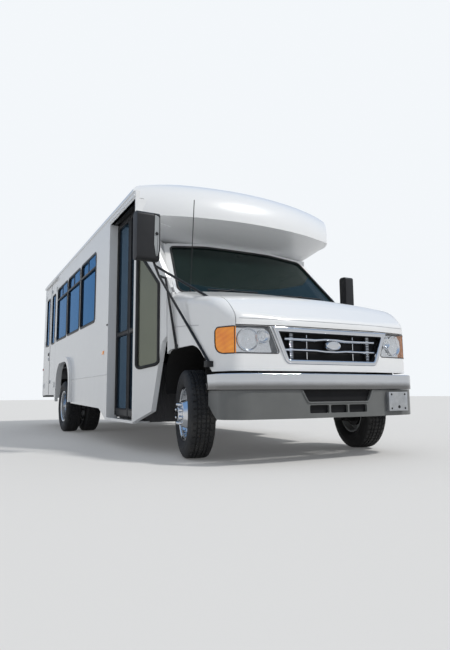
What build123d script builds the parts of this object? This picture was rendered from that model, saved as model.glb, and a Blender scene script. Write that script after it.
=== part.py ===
from build123d import *
import math
import os

# A shuttle bus on a van chassis: steel cab, wide moulded body, entry door behind the right front
# wheel, lift door behind the right rear wheel. x runs to the vehicle's left, y runs back from the
# face of the front bumper, z up from the ground. The last lines move the origin to mid length.

# Overall sizes
LENGTH = 7110
BODY_HALF = 1219
CAB_HALF = 1008
WHEELBASE = round(LENGTH * 0.5644)
FRONT_AXLE = 820
REAR_AXLE = FRONT_AXLE + WHEELBASE
ROOF_TOP = 2750
EAVE = ROOF_TOP - 130
EAVE_RADIUS = 120
WALL = 40
WALL_TOP = EAVE - 105
FLOOR_UNDER = 790
FLOOR_THICK = 40
SEAT_GAP = 0.3
DOOR_GAP = 6

# Wheels and steering
TYRE_RADIUS = 368
TYRE_WIDTH = 225
RIM_RADIUS = 218
RIM_WIDTH = 165
HUB_BORE = 60
FRONT_BORE = 40
FRONT_TRACK_HALF = 882
KINGPIN_X = 770
STEER_REST = -12.5
REAR_OUTER = 1125
REAR_INNER = 850
HAND_HOLES = 8

# Body ends and openings along the length
POST_Y = 1483
CORNER_FRONT = 1150
ENTRY_FRONT = 1500
ENTRY_REAR = 2408
ENTRY_BOTTOM = 290
ENTRY_TOP = WALL_TOP - 75
REAR_BUMPER_DEPTH = 90
BODY_REAR = LENGTH - REAR_BUMPER_DEPTH
REAR_CAP = 150
LIFT_REAR = BODY_REAR - 240
LIFT_FRONT = LIFT_REAR - 1080
LIFT_BOTTOM = 535
LIFT_TOP = WALL_TOP - 50
WINDOW_START = 2991
WINDOW_PITCH = (LIFT_FRONT + 45 - WINDOW_START) / 3.1
WINDOW_FIRST = WINDOW_START + WINDOW_PITCH / 2
WINDOW_WIDTH = WINDOW_PITCH - 38
WINDOW_BOTTOM = 1400
WINDOW_TOP = WALL_TOP - 225
WINDOW_SPLIT = WINDOW_TOP - 205
WINDOW_RADIUS = 70
FRAME_WIDTH = 28
ARCH_HALF = 495
ARCH_TOP = 1020
ARCH_RADIUS = 330
FLARE_WIDTH = 65
SKIRT_FRONT = 265
SKIRT_MID = 380
SKIRT_REAR = 520

# Front cap and the chin below it
CAP_NOSE = 1255
CAP_END = 2480
CAP_SWING = 3000
CHIN_BOTTOM = 2120
CAP_BOTTOM = CHIN_BOTTOM + 0.316 * (EAVE - CHIN_BOTTOM)
NOSE_RADIUS = 0.95 * (ROOF_TOP - CAP_BOTTOM)

# Door leaves
LEAF = 40
ENTRY_RECESS = 95
CENTRE_GAP = 12

# Cab front
SEAM_FRONT = 1045
SEAM_REAR = 1120
PANEL = 25
HOOD_HALF = CAB_HALF - 158
HOOD_REAR = 1035
HOOD_TOP = 1495
HOOD_NOSE = 1330
HOOD_CROWN = 9000
SHOULDER = 90
NOSE_BOTTOM = 700
FENDER_REAR = 1290
COWL_TOP = 1440
GLASS_BASE_Y = 1062
GLASS_BASE_Z = 1459
GLASS_TOP_Z = 2035
GLASS_RAKE = 47
GLASS_LENGTH = 930
GLASS_BOW = 38
GLASS_BASE_HALF = CAB_HALF - 86
GLASS_TOP_HALF = CAB_HALF - 208
SURROUND = 45
FIREWALL_Y = 1262
DOOR_FRONT = 1298
DOOR_REAR = 2300
DOOR_BOTTOM = 560
DOOR_TOP = 2020
DOOR_THICK = 70
CAB_INNER = CAB_HALF - 78

CAB_FLOOR = 700 + SEAT_GAP

# Front bumper
BUMPER_HALF = CAB_HALF - 33
BUMPER_BOTTOM = 556
BUMPER_TOP = 682
BUMPER_WRAP = 410
VALANCE_BOTTOM = 341

# Cutters reach this far to the sides
FAR = 2000


def outline(rows):
    """A closed face through rows of (across, up, corner radius)."""
    places = [(across, up) for across, up, _ in rows]
    radii = [radius for _, _, radius in rows]
    return make_face(FilletPolyline(*places, radius=radii, close=True))


def from_side(rows, x_from, x_to):
    """Rows of (y, z, radius), pushed from x_from to x_to."""
    return extrude(Plane.YZ.offset(x_from) * outline(rows), x_to - x_from)


def from_front(rows, y_from, y_to):
    """Rows of (x, z, radius), pushed from y_from back to y_to."""
    plane = Plane((0, y_from, 0), x_dir=(1, 0, 0), z_dir=(0, -1, 0))
    return extrude(plane * outline(rows), y_from - y_to)


def from_above(rows, z_from, z_to):
    """Rows of (x, y, radius), pushed from z_from up to z_to."""
    return extrude(Plane.XY.offset(z_from) * outline(rows), z_to - z_from)


def block(x_from, x_to, y_from, y_to, z_from, z_to):
    """A box between two corners."""
    middle = Pos((x_from + x_to) / 2, (y_from + y_to) / 2, (z_from + z_to) / 2)
    return middle * Box(x_to - x_from, y_to - y_from, z_to - z_from)


def both_sides(rows):
    """Rows given for positive x, with their mirror images added to close an outline."""
    return rows + [(-x, other, radius) for x, other, radius in reversed(rows)]


def frame_rows(low, high, bottom, top, radius):
    """A rounded rectangle as rows."""
    return [(low, bottom, radius), (high, bottom, radius), (high, top, radius), (low, top, radius)]


def tube(start, end, radius):
    """A round bar between two points."""
    axis = Vector(*end) - Vector(*start)
    plane = Plane(Vector(*start), z_dir=axis)
    return extrude(plane * Circle(radius), axis.length)


def body_section(inset, bottom, y_from, y_to):
    """The body's cross-section, walls and crowned roof, from y_from to y_to."""
    half = BODY_HALF - inset
    eave = EAVE - inset
    top = ROOF_TOP - inset
    left_wall = Line((-half, bottom), (-half, eave))
    crown = ThreePointArc((-half, eave), (0, top), (half, eave))
    right_wall = Line((half, eave), (half, bottom))
    base = Line((half, bottom), (-half, bottom))
    face = make_face([left_wall, crown, right_wall, base])
    corners = face.vertices().group_by(Axis.Y)[-1]
    face = fillet(corners, EAVE_RADIUS - inset)
    plane = Plane((0, y_from, 0), x_dir=(1, 0, 0), z_dir=(0, -1, 0))
    return extrude(plane * face, y_from - y_to)


def nose_plan(inset, z_from, z_to):
    """The cab front seen from above, from the grille back to the doors."""
    half = CAB_HALF - inset
    rows = both_sides([
        (half, FENDER_REAR, 0),
        (half, 640, 300),
        (half - 55, 330, 200),
        (half - 145, 135, 120),
        (420, 62 + inset, 900),
    ])
    return from_above(rows, z_from, z_to)


def bumper_plan(inset, z_from, z_to):
    """The bumper seen from above, wrapped back at its ends."""
    half = BUMPER_HALF - inset
    rows = both_sides([
        (half, BUMPER_WRAP, 0),
        (half, 190, 120),
        (half - 130, 60 + inset, 180),
        (330, inset, 1500),
    ])
    return from_above(rows, z_from, z_to)


def side_frame(y_low, y_high, z_low, z_high, radius, x_from, x_to, inset=0):
    """A prism through a side wall with a rounded outline."""
    rows = frame_rows(y_low + inset, y_high - inset, z_low + inset, z_high - inset, radius - inset / 2)
    return from_side(rows, x_from, x_to)


# Chassis

FRAME_HALF = 430
FRAME_RAIL_HEIGHT = 180
FRAME_RAIL_WIDTH = 70
FRAME_TOP = 700
FRAME_FRONT = 170


def chassis_frame():
    """Two channel rails with cross members and body outriggers."""
    rails = Part()
    for side in (-1, 1):
        outer = side * FRAME_HALF
        inner = side * (FRAME_HALF - FRAME_RAIL_WIDTH)
        low, high = sorted((outer, inner))
        rail = block(low, high, FRAME_FRONT, BODY_REAR - 60, FRAME_TOP - FRAME_RAIL_HEIGHT, FRAME_TOP)
        hollow_low, hollow_high = sorted((inner - side, outer - side * 8))
        rail -= block(hollow_low, hollow_high, FRAME_FRONT - 1, BODY_REAR,
                      FRAME_TOP - FRAME_RAIL_HEIGHT + 8, FRAME_TOP - 8)
        rails += rail
    inside = FRAME_HALF - 8
    for y, z_low, z_high in ((200, 540, 640), (1560, 560, 660), (2700, 560, 660), (REAR_AXLE - 733, 560, 660),
                             (REAR_AXLE + 867, 560, 660), (BODY_REAR - 130, 560, 660)):
        rails += block(-inside, inside, y, y + 60, z_low, z_high)
    for y in (2700, 3500, REAR_AXLE - 683, REAR_AXLE + 667, REAR_AXLE + 1467):
        rails += block(-BODY_HALF + WALL + 20, BODY_HALF - WALL - 20, y, y + 50, FRAME_TOP, FLOOR_UNDER)
    return rails


def engine():
    """The engine and gearbox as one plain block."""
    mass = block(-290, 290, 560, 1210, 545, 1120) + block(-170, 170, 1210, 1500, 430, 640)
    inside = FRAME_HALF - FRAME_RAIL_WIDTH - SEAT_GAP
    return mass + block(-inside, inside, 850, 950, 640, FRAME_TOP - 2)


def radiator():
    """The radiator that shows through the grille."""
    return block(-420, 420, 250, 310, FRAME_TOP, 1030)


BEAM_LOW = 330
BEAM_HIGH = 400


def front_axle():
    """The twin beam front axle with its radius arms and coil springs."""
    axle = block(-KINGPIN_X, KINGPIN_X, FRONT_AXLE - 35, FRONT_AXLE + 35, BEAM_LOW, BEAM_HIGH)
    for side in (-1, 1):
        axle += tube((side * KINGPIN_X, FRONT_AXLE, BEAM_LOW), (side * KINGPIN_X, FRONT_AXLE, BEAM_HIGH), 38)
        axle += tube((side * 560, FRONT_AXLE + 20, 365), (side * (FRAME_HALF - 45), 1620, 495), 24)
        axle += tube((side * 600, FRONT_AXLE, 400), (side * 600, FRONT_AXLE, 690), 55)
        low, high = sorted((side * (FRAME_HALF + SEAT_GAP), side * 660))
        axle += block(low, high, FRONT_AXLE - 60, FRONT_AXLE + 60, 690, 700)
    return axle


def turned(shape, side):
    """Turn a steered piece about its kingpin to the angle that the front wheels stand at."""
    kingpin = Axis((side * KINGPIN_X, FRONT_AXLE, 0), (0, 0, 1))
    return shape.rotate(kingpin, STEER_REST)


def knuckle(side):
    """A steering knuckle with its spindle, brake disc and steering arm."""
    z = TYRE_RADIUS
    web = KINGPIN_X + 42
    upright = block(KINGPIN_X - 40, web + 28, FRONT_AXLE - 45, FRONT_AXLE + 45, z - 110, z + 110)
    upright -= block(KINGPIN_X - 41, web, FRONT_AXLE - 46, FRONT_AXLE + 46,
                     BEAM_LOW - SEAT_GAP, BEAM_HIGH + SEAT_GAP)
    spindle = tube((web, FRONT_AXLE, z), (FRONT_TRACK_HALF + 105, FRONT_AXLE, z), FRONT_BORE - SEAT_GAP)
    disc = tube((web + 10, FRONT_AXLE, z), (web + 38, FRONT_AXLE, z), 150)
    arm = block(KINGPIN_X - 60, KINGPIN_X - 10, FRONT_AXLE + 30, FRONT_AXLE + 190, z - 105, z - 75)
    shape = upright + spindle + disc + arm
    if side < 0:
        shape = mirror(shape, Plane.YZ)
    return turned(shape, side)


def tyre_at(x, y):
    """One tyre on its rim's bead seats, centred at x."""
    half = TYRE_WIDTH / 2
    bead = RIM_WIDTH / 2 - 8
    rows = [
        (-bead, RIM_RADIUS, 0),
        (-half, RIM_RADIUS + 65, 0),
        (-half + 6, TYRE_RADIUS - 32, 0),
        (-half + 30, TYRE_RADIUS, 0),
        (half - 30, TYRE_RADIUS, 0),
        (half - 6, TYRE_RADIUS - 32, 0),
        (half, RIM_RADIUS + 65, 0),
        (bead, RIM_RADIUS, 0),
    ]
    face = Plane((0, 0, 0), x_dir=(1, 0, 0), z_dir=(0, -1, 0)) * outline(rows)
    return Pos(x, y, TYRE_RADIUS) * revolve(face, Axis.X)


def rim_at(x, y, dish, hub, bore):
    """One wheel: barrel, disc with round hand holes, and hub; dish moves the disc outboard."""
    half = RIM_WIDTH / 2
    seat = RIM_RADIUS - SEAT_GAP
    inner = seat - 14
    plane = Plane((0, 0, 0), x_dir=(1, 0, 0), z_dir=(0, -1, 0))
    barrel = revolve(plane * outline([
        (-half, inner, 0), (-half, seat, 0), (half, seat, 0), (half, inner, 0)]), Axis.X)
    disc = revolve(plane * outline([
        (dish - 30, inner + 2, 0),
        (dish - 8, inner + 2, 0),
        (dish + 12, 130, 0),
        (dish + hub, 95, 0),
        (dish + hub, bore, 0),
        (dish + hub - 20, bore, 0),
        (dish - 8, 110, 0),
    ]), Axis.X)
    hole = Cylinder(21, 200, rotation=(0, 90, 0))
    holes = [Rot(360 * i / HAND_HOLES, 0, 0) * Pos(0, 0, 168) * hole for i in range(HAND_HOLES)]
    return Pos(x, y, TYRE_RADIUS) * (barrel + (disc - holes))


def front_wheel(side):
    """The tyre and rim of a front wheel, turned with the steering."""
    tyre = tyre_at(FRONT_TRACK_HALF, FRONT_AXLE)
    rim = rim_at(FRONT_TRACK_HALF, FRONT_AXLE, 20, 90, FRONT_BORE)
    if side < 0:
        tyre = mirror(tyre, Plane.YZ)
        rim = mirror(rim, Plane.YZ)
    return turned(tyre, side), turned(rim, side)


def rear_wheels(side):
    """Twin tyres and rims; the outer disc is dished inboard, the inner one outboard."""
    tyres = tyre_at(REAR_OUTER, REAR_AXLE) + tyre_at(REAR_INNER, REAR_AXLE)
    outer = mirror(rim_at(0, REAR_AXLE, 60, 4, HUB_BORE), Plane.YZ)
    rims = Pos(REAR_OUTER, 0, 0) * outer + rim_at(REAR_INNER, REAR_AXLE, 60, 4, HUB_BORE)
    middle = (REAR_OUTER + REAR_INNER) / 2
    hub = Cylinder(70, 300, rotation=(0, 90, 0)) - Cylinder(HUB_BORE, 320, rotation=(0, 90, 0))
    rims += Pos(middle, REAR_AXLE, TYRE_RADIUS) * hub
    if side < 0:
        tyres = mirror(tyres, Plane.YZ)
        rims = mirror(rims, Plane.YZ)
    return tyres, rims


def rear_axle():
    """Axle housing with differential, leaf springs and drive shaft."""
    z = TYRE_RADIUS
    end = REAR_OUTER + 20
    axle = tube((-end, REAR_AXLE, z), (end, REAR_AXLE, z), HUB_BORE - SEAT_GAP)
    case = [(-165, 60, 0), (-110, 150, 0), (110, 150, 0), (165, 60, 0)]
    axle += Pos(0, REAR_AXLE, z) * revolve(Plane.XY * outline(case + [(165, 0, 0), (-165, 0, 0)]), Axis.X)
    for side in (-1, 1):
        x = side * 520
        spring = from_side([
            (REAR_AXLE - 650, 600, 0), (REAR_AXLE - 650, 570, 0), (REAR_AXLE - 100, z + 50, 500),
            (REAR_AXLE + 100, z + 50, 500), (REAR_AXLE + 650, 570, 0), (REAR_AXLE + 650, 600, 0),
            (REAR_AXLE + 100, z + 110, 500), (REAR_AXLE - 100, z + 110, 500)], x - 35, x + 35)
        axle += spring
        for y in (REAR_AXLE - 640, REAR_AXLE + 640):
            low, high = sorted((side * (FRAME_HALF + SEAT_GAP), side * 555))
            axle += block(low, high, y - 30, y + 30, 560, 660)
    axle += tube((0, 1505, 480), (0, REAR_AXLE - 120, z + 10), 45)
    return axle


def fuel_tank():
    """The tank between the rails behind the rear axle."""
    rows = frame_rows(REAR_AXLE + 727, REAR_AXLE + 1667, 340, 560 - SEAT_GAP, 50)
    return from_side(rows, -330, 330)


def exhaust():
    """Muffler and tailpipe along the right side of the gearbox."""
    tail = REAR_AXLE - 683
    pipe = tube((-250, 1400, 470), (-250, 2300, 440), 35)
    pipe += tube((-250, 2300, 440), (-250, 3000, 440), 95)
    pipe += tube((-250, 3000, 440), (-250, tail, 440), 35)
    under_rail = FRAME_TOP - FRAME_RAIL_HEIGHT - SEAT_GAP
    for y in (2100, 3200, tail - 100):
        pipe += block(-262, -238, y - 10, y + 10, 470, under_rail)
        pipe += block(-400, -238, y - 10, y + 10, under_rail - 12, under_rail)
    return pipe


# Floor and body

WELL_FRONT = ENTRY_FRONT + 40
WELL_REAR = ENTRY_REAR - 40
WELL_INNER = -620


def floor():
    """The floor deck with wheel boxes and the entry step well."""
    half = BODY_HALF - WALL - SEAT_GAP
    top = FLOOR_UNDER + FLOOR_THICK
    rear = BODY_REAR - WALL - SEAT_GAP
    deck = from_above([
        (-half, CAP_END, 0), (half, CAP_END, 0), (half, rear, 90), (-half, rear, 90)], FLOOR_UNDER, top)
    edge = -BODY_HALF + ENTRY_RECESS + LEAF + DOOR_GAP
    deck += block(-half, CAB_HALF - 38, ENTRY_REAR + 20, CAP_END + 1, FLOOR_UNDER, top)
    deck += block(edge, CAB_HALF - 38, WELL_REAR, ENTRY_REAR + 21, FLOOR_UNDER, top)
    deck += block(WELL_INNER, CAB_INNER, DOOR_REAR + 50, WELL_REAR + 1, FLOOR_UNDER, top)
    for side in (-1, 1):
        outer = side * half
        inner = side * (REAR_INNER - 190)
        low, high = sorted((outer, inner))
        deck -= block(low, high, REAR_AXLE - 460, REAR_AXLE + 460, FLOOR_UNDER - 1, top + 1)
        wheel_box = block(low, high, REAR_AXLE - 470, REAR_AXLE + 470, FLOOR_UNDER, 960)
        low, high = sorted((outer + side, inner + side * 15))
        wheel_box -= block(low, high, REAR_AXLE - 455, REAR_AXLE + 455, FLOOR_UNDER - 1, 945)
        deck += wheel_box
    well = block(edge, WELL_INNER + 15, WELL_FRONT - 15, WELL_REAR + 15, 270, top)
    well -= block(edge - 1, WELL_INNER, WELL_FRONT, WELL_REAR, 310, top + 1)
    well += block(-880, WELL_INNER, WELL_FRONT, WELL_REAR, 300, 560)
    return deck + well


def skirt_rows():
    """The side wall's outline with its stepped skirt."""
    return [
        (POST_Y, WALL_TOP, 0),
        (POST_Y, SKIRT_FRONT, 0),
        (ENTRY_REAR + 40, SKIRT_FRONT, 30),
        (ENTRY_REAR + 330, SKIRT_MID, 120),
        (REAR_AXLE - ARCH_HALF, 420, 0),
        (REAR_AXLE + ARCH_HALF, 490, 0),
        (BODY_REAR - REAR_CAP, SKIRT_REAR, 0),
        (BODY_REAR - REAR_CAP, WALL_TOP, 0),
    ]


def arch_rows(inset):
    """The rear wheel opening."""
    half = ARCH_HALF - inset
    return [
        (REAR_AXLE - half, 300, 0),
        (REAR_AXLE + half, 300, 0),
        (REAR_AXLE + half, ARCH_TOP - inset, ARCH_RADIUS),
        (REAR_AXLE - half, ARCH_TOP - inset, ARCH_RADIUS),
    ]


def window_places(side):
    """Where the side windows' centres are along the length."""
    count = 3 if side < 0 else 4
    return [WINDOW_FIRST + WINDOW_PITCH * i for i in range(count)]


def window_hole(y, x_from, x_to, inset=0):
    """The opening for one side window."""
    low = y - WINDOW_WIDTH / 2
    high = y + WINDOW_WIDTH / 2
    return side_frame(low, high, WINDOW_BOTTOM, WINDOW_TOP, WINDOW_RADIUS, x_from, x_to, inset)


def side_wall(side):
    """One side wall with its openings; the right one holds the entry and the lift doors."""
    outer = side * BODY_HALF
    inner = side * (BODY_HALF - WALL)
    low, high = sorted((outer, inner))
    rows = skirt_rows()
    if side > 0:
        rows[0] = (CAP_END, WALL_TOP, 0)
        rows[1] = (CAP_END, SKIRT_MID, 0)
        del rows[2:4]
    wall = from_side(rows, low, high)
    wall -= from_side(arch_rows(0), low - 1, high + 1)
    for y in window_places(side):
        wall -= window_hole(y, low - 1, high + 1)
    if side < 0:
        wall -= block(low - 1, high + 1, ENTRY_FRONT, ENTRY_REAR, ENTRY_BOTTOM, ENTRY_TOP)
        wall -= block(low - 1, high + 1, LIFT_FRONT, LIFT_REAR, LIFT_BOTTOM - 80, LIFT_TOP)
        rail = block(low - 12, low, ENTRY_FRONT - 10, ENTRY_REAR + 10, ENTRY_TOP + 20, ENTRY_TOP + 40)
        wall += rail
        jamb_depth = ENTRY_RECESS - WALL + 15
        for y_low, y_high in ((POST_Y, ENTRY_FRONT), (ENTRY_REAR, ENTRY_REAR + 17)):
            wall += block(high - 1, high + jamb_depth, y_low, y_high, FLOOR_UNDER + FLOOR_THICK + 1, ENTRY_TOP)
    return wall


def panes(y, side):
    """A tinted side window: frame, lower pane, and upper sash split in two sliders."""
    outer = BODY_HALF + 4
    inner = BODY_HALF - WALL
    x_low, x_high = sorted((side * outer, side * inner))
    split = WINDOW_SPLIT
    frame = window_hole(y, x_low, x_high, SEAT_GAP)
    low = y - WINDOW_WIDTH / 2 + FRAME_WIDTH
    high = y + WINDOW_WIDTH / 2 - FRAME_WIDTH
    frame -= side_frame(low, high, WINDOW_BOTTOM + FRAME_WIDTH, split, 45, x_low - 1, x_high + 1)
    frame -= side_frame(low, high, split + 22, WINDOW_TOP - FRAME_WIDTH, 40, x_low - 1, x_high + 1)
    glass_low, glass_high = sorted((side * (BODY_HALF - 12), side * (BODY_HALF - 18)))
    glass = block(glass_low, glass_high, low - 5, high + 5, WINDOW_BOTTOM + 20, WINDOW_TOP - 20)
    mullion_low, mullion_high = sorted((side * (BODY_HALF - 4), side * (BODY_HALF - 26)))
    mullion = block(mullion_low, mullion_high, y - 14, y + 14, split, WINDOW_TOP - 20)
    return frame + glass + mullion


CORNER_HALF = CAB_HALF + 14
CORNER_RAKE = 0.4356
CORNER_KNEE = 1600
CORNER_THICK = 45
SIDELIGHT = [
    (1222, 812, 40),
    (1452, 770, 40),
    (1452, 1985, 25),
    (1400, 1985, 25),
    (1222, 1640, 40),
]


def corner_x(y):
    """The corner panel's outer face, between the entry post and the cab."""
    along = (POST_Y - y) / (POST_Y - CORNER_FRONT)
    return -BODY_HALF + along * (BODY_HALF - CORNER_HALF)


def corner_panel_plan(offset_in, z_from, z_to):
    """The slanted panel from the entry post forward to the cab, seen from above."""
    rear = POST_Y - SEAT_GAP
    rows = [
        (-BODY_HALF, rear, 0),
        (-CORNER_HALF, CORNER_FRONT, 0),
        (-CORNER_HALF + offset_in, CORNER_FRONT, 0),
        (-BODY_HALF + offset_in, rear, 0),
    ]
    return from_above(rows, z_from, z_to)


def glass_face(x, z):
    """How far back the windshield's face is at x and z."""
    rake = math.radians(GLASS_RAKE)
    bow = GLASS_BOW / math.sin(rake) * (x / (CAB_HALF - 18)) ** 2
    return GLASS_BASE_Y + (z - GLASS_BASE_Z) / math.tan(rake) + bow


def corner_gore():
    """The web that closes the corner panel to the windshield pillar, from the cowl to the cap."""
    sections = []
    for z in (COWL_TOP - 8, CORNER_KNEE, CHIN_BOTTOM):
        up = (z - GLASS_BASE_Z) / (GLASS_TOP_Z - GLASS_BASE_Z)
        pillar_x = -(GLASS_BASE_HALF + (GLASS_TOP_HALF - GLASS_BASE_HALF) * up + SURROUND + 1)
        front_y = CORNER_FRONT + max(z - CORNER_KNEE, 0) * CORNER_RAKE
        sections.append((z, (pillar_x, glass_face(pillar_x, z) + 4), (corner_x(front_y), front_y)))
    last_y = CORNER_FRONT + (CAP_BOTTOM - CORNER_KNEE) * CORNER_RAKE
    sections.append((CAP_BOTTOM, (-BODY_HALF + 14, POST_Y + 15), (corner_x(last_y), last_y)))
    faces = []
    for z, pillar, front in sections:
        points = [pillar, front, (front[0] - 5, front[1] + 25), (pillar[0] - 15, pillar[1] + 25)]
        faces.append(Plane.XY.offset(z) * make_face(Polyline(*points, close=True)))
    return loft(faces, ruled=True)


def entry_corner():
    """Right corner panel with the opening for the fixed sidelight."""
    panel = corner_panel_plan(CORNER_THICK, SKIRT_FRONT, CAP_BOTTOM)
    top_y = CORNER_FRONT + (CAP_BOTTOM - CORNER_KNEE) * CORNER_RAKE
    keep = from_side([
        (1290, 380, 0), (1520, 255, 0), (1520, CAP_BOTTOM, 0), (top_y, CAP_BOTTOM, 0), (1150, CORNER_KNEE, 0),
        (1100, CORNER_KNEE, 0), (1100, 1125, 0), (1190, 1000, 0), (1225, 790, 0)], -FAR, 0)
    panel &= keep
    panel -= from_side(SIDELIGHT, -FAR, 0)
    corner = panel + corner_gore()
    corner -= chin_solid(-SEAT_GAP) + block(-FAR, 0, POST_Y - SEAT_GAP, POST_Y + 200, 0, ROOF_TOP)
    corner -= block(-FAR, 0, 0, CORNER_FRONT, 0, COWL_TOP + SEAT_GAP)
    corner -= glass_band(CAB_HALF, -5, 51, GLASS_LENGTH + 60) & glass_outline(SURROUND + SEAT_GAP)
    return max(corner.solids(), key=lambda solid: solid.volume)


def sidelight():
    """The fixed five-sided window in the right corner panel."""
    pane = Pos(12, 0, 0) * corner_panel_plan(20, SKIRT_FRONT, CHIN_BOTTOM)
    inner = extrude(Plane.YZ.offset(-FAR) * offset(outline(SIDELIGHT), -SEAT_GAP), FAR)
    return pane & inner


def driver_corner():
    """Left corner panel, flaring from behind the driver's door to the body's width."""
    rear = CAP_END - SEAT_GAP
    rows = [
        (CAB_HALF, DOOR_REAR + 45, 0),
        (BODY_HALF, rear, 0),
        (BODY_HALF - 45, rear, 0),
        (CAB_HALF - 30, DOOR_REAR + 45, 0),
    ]
    return from_above(rows, SKIRT_MID, CAP_BOTTOM - SEAT_GAP) - chin_solid(-SEAT_GAP)


def nose_sweep(inset):
    """The cap's bull nose, its side profile swung about a far upright axis."""
    front = CAP_NOSE + inset
    top = ROOF_TOP - inset
    rows = [
        (front, CAP_BOTTOM - 10, 0),
        (CAP_END + 20, CAP_BOTTOM - 10, 0),
        (CAP_END + 20, top, 0),
        (front, top, NOSE_RADIUS - inset),
    ]
    axis = Axis((0, CAP_NOSE + CAP_SWING, 0), (0, 0, 1))
    half_turn = 38
    face = (Plane.YZ * outline(rows)).rotate(axis, -half_turn)
    return revolve(face, axis, 2 * half_turn)


def cap_solid(inset):
    """The front cap's envelope, drawn in by its wall; its corner is rounder on the driver's side."""
    half = BODY_HALF - inset
    rear = CAP_END - SEAT_GAP
    bottom = CAP_BOTTOM + max(inset - 1, 0)
    plan = from_above([
        (half, rear, 0),
        (half, POST_Y + 17 + inset, 450 - inset),
        (half * 0.58, CAP_NOSE - 40 + inset, 0),
        (-half * 0.58, CAP_NOSE - 40 + inset, 0),
        (-half, POST_Y + 17 + inset, 100 - inset),
        (-half, rear, 0),
    ], bottom, ROOF_TOP + 100)
    section = body_section(inset, bottom, CAP_NOSE - 60, rear)
    return section & plan & nose_sweep(inset)


def chin_solid(inset):
    """The chin's envelope, from the nose's lower edge in to the windshield header."""
    half = BODY_HALF - 6 - inset
    rear = CAP_END - SEAT_GAP
    nose = CAP_NOSE + 6 + inset
    flat = 0.43 * half
    corner = nose + (half - flat) * 0.347
    header = CAB_HALF - inset
    front = glass_face(0, CHIN_BOTTOM) + inset
    top = outline([
        (half, rear, 0), (half, corner, 400), (flat, nose, 2500), (-flat, nose, 2500),
        (-half, corner, 60), (-half, rear, 0)])
    low = outline([
        (header, rear, 0), (header, front + 160, 120), (0.4 * header, front, 1500),
        (-0.4 * header, front, 1500), (-header, front + 160, 120), (-header, rear, 0)])
    return loft([Pos(0, 0, CHIN_BOTTOM + inset) * low, Pos(0, 0, CAP_BOTTOM + inset) * top], ruled=True)


def front_cap():
    """The moulded cap over the cab, open to the cab, to the entry and to the body behind."""
    cap = cap_solid(0) + chin_solid(0) - cap_solid(WALL) - chin_solid(WALL)
    rear = CAP_END + 1
    cap -= block(-BODY_HALF + WALL, BODY_HALF - WALL, CAP_END - 60, rear, CAP_BOTTOM + WALL, ROOF_TOP - 170)
    cap -= block(-CAB_HALF + 150, CAB_HALF - 150, 1800, rear, CHIN_BOTTOM - 1, CAP_BOTTOM + WALL)
    leaf_inner = -BODY_HALF + ENTRY_RECESS + LEAF + 10
    jamb_inner = -BODY_HALF + ENTRY_RECESS + 15 + SEAT_GAP
    wall_inner = -BODY_HALF + WALL + SEAT_GAP
    cap -= block(-FAR, leaf_inner, ENTRY_FRONT, rear, CHIN_BOTTOM - 1, ENTRY_TOP)
    cap -= block(-FAR, jamb_inner, POST_Y - SEAT_GAP, rear, CHIN_BOTTOM - 1, ENTRY_TOP + SEAT_GAP)
    cap -= block(-FAR, wall_inner, POST_Y - SEAT_GAP, rear, CHIN_BOTTOM - 1, WALL_TOP + SEAT_GAP)
    return cap - block(-FAR, -CAB_HALF + 160, 1560, rear, CHIN_BOTTOM - 1, CAP_BOTTOM + WALL)


def roof():
    """The crowned roof between the caps."""
    shell = body_section(0, WALL_TOP + SEAT_GAP, CAP_END, BODY_REAR - REAR_CAP - SEAT_GAP)
    return shell - body_section(WALL, WALL_TOP - 50, CAP_END - 1, BODY_REAR)


def rear_cap():
    """The moulded rear end with its escape window opening."""
    def envelope(inset):
        half = BODY_HALF - inset
        section = body_section(inset, SKIRT_REAR, BODY_REAR - REAR_CAP, BODY_REAR - inset)
        plan = from_above([
            (-half, BODY_REAR - REAR_CAP, 0), (half, BODY_REAR - REAR_CAP, 0),
            (half, BODY_REAR - inset, 110 - inset), (-half, BODY_REAR - inset, 110 - inset),
        ], SKIRT_REAR - 1, ROOF_TOP + 1)
        return section & plan
    cap = envelope(0) - envelope(WALL)
    return cap - from_front(frame_rows(-500, 500, 1450, 2200, 70), BODY_REAR - 60, BODY_REAR + 1)


def windows():
    """All fixed windows of the body: sides, sidelight and rear escape window."""
    glass = Part()
    for side in (-1, 1):
        for y in window_places(side):
            glass += panes(y, side)
    glass += sidelight()
    rows = frame_rows(-500 + SEAT_GAP, 500 - SEAT_GAP, 1450 + SEAT_GAP, 2200 - SEAT_GAP, 70)
    glass += from_front(rows, BODY_REAR - 34, BODY_REAR + 4)
    return glass


def wheel_flares():
    """Lips round the rear wheel openings."""
    flares = Part()
    for side in (-1, 1):
        low, high = sorted((side * (BODY_HALF + SEAT_GAP), side * (BODY_HALF + 43)))
        lip = from_side(arch_rows(-FLARE_WIDTH), low, high) - from_side(arch_rows(0), low - 1, high + 1)
        lip -= block(-FAR, FAR, REAR_AXLE - 900, REAR_AXLE + 900, 0, 435)
        flares += lip
    return flares


# Doors

LIFT_HINGE_OUT = 8
DRIVER_HINGE_OUT = 6
DRIVER_HINGE_Y = FENDER_REAR - 1


def barrels(x, y, radius, heights, skin, strap_to):
    """Hinge barrels about an upright pin at (x, y), strapped to the leaf's outer face."""
    hinges = Part()
    for z in heights:
        hinges += tube((x, y, z - 45), (x, y, z + 45), radius)
        hinges += block(*sorted((x + math.copysign(3, x), skin)), *sorted((y, strap_to)), z - 45, z + 45)
    return hinges


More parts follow.
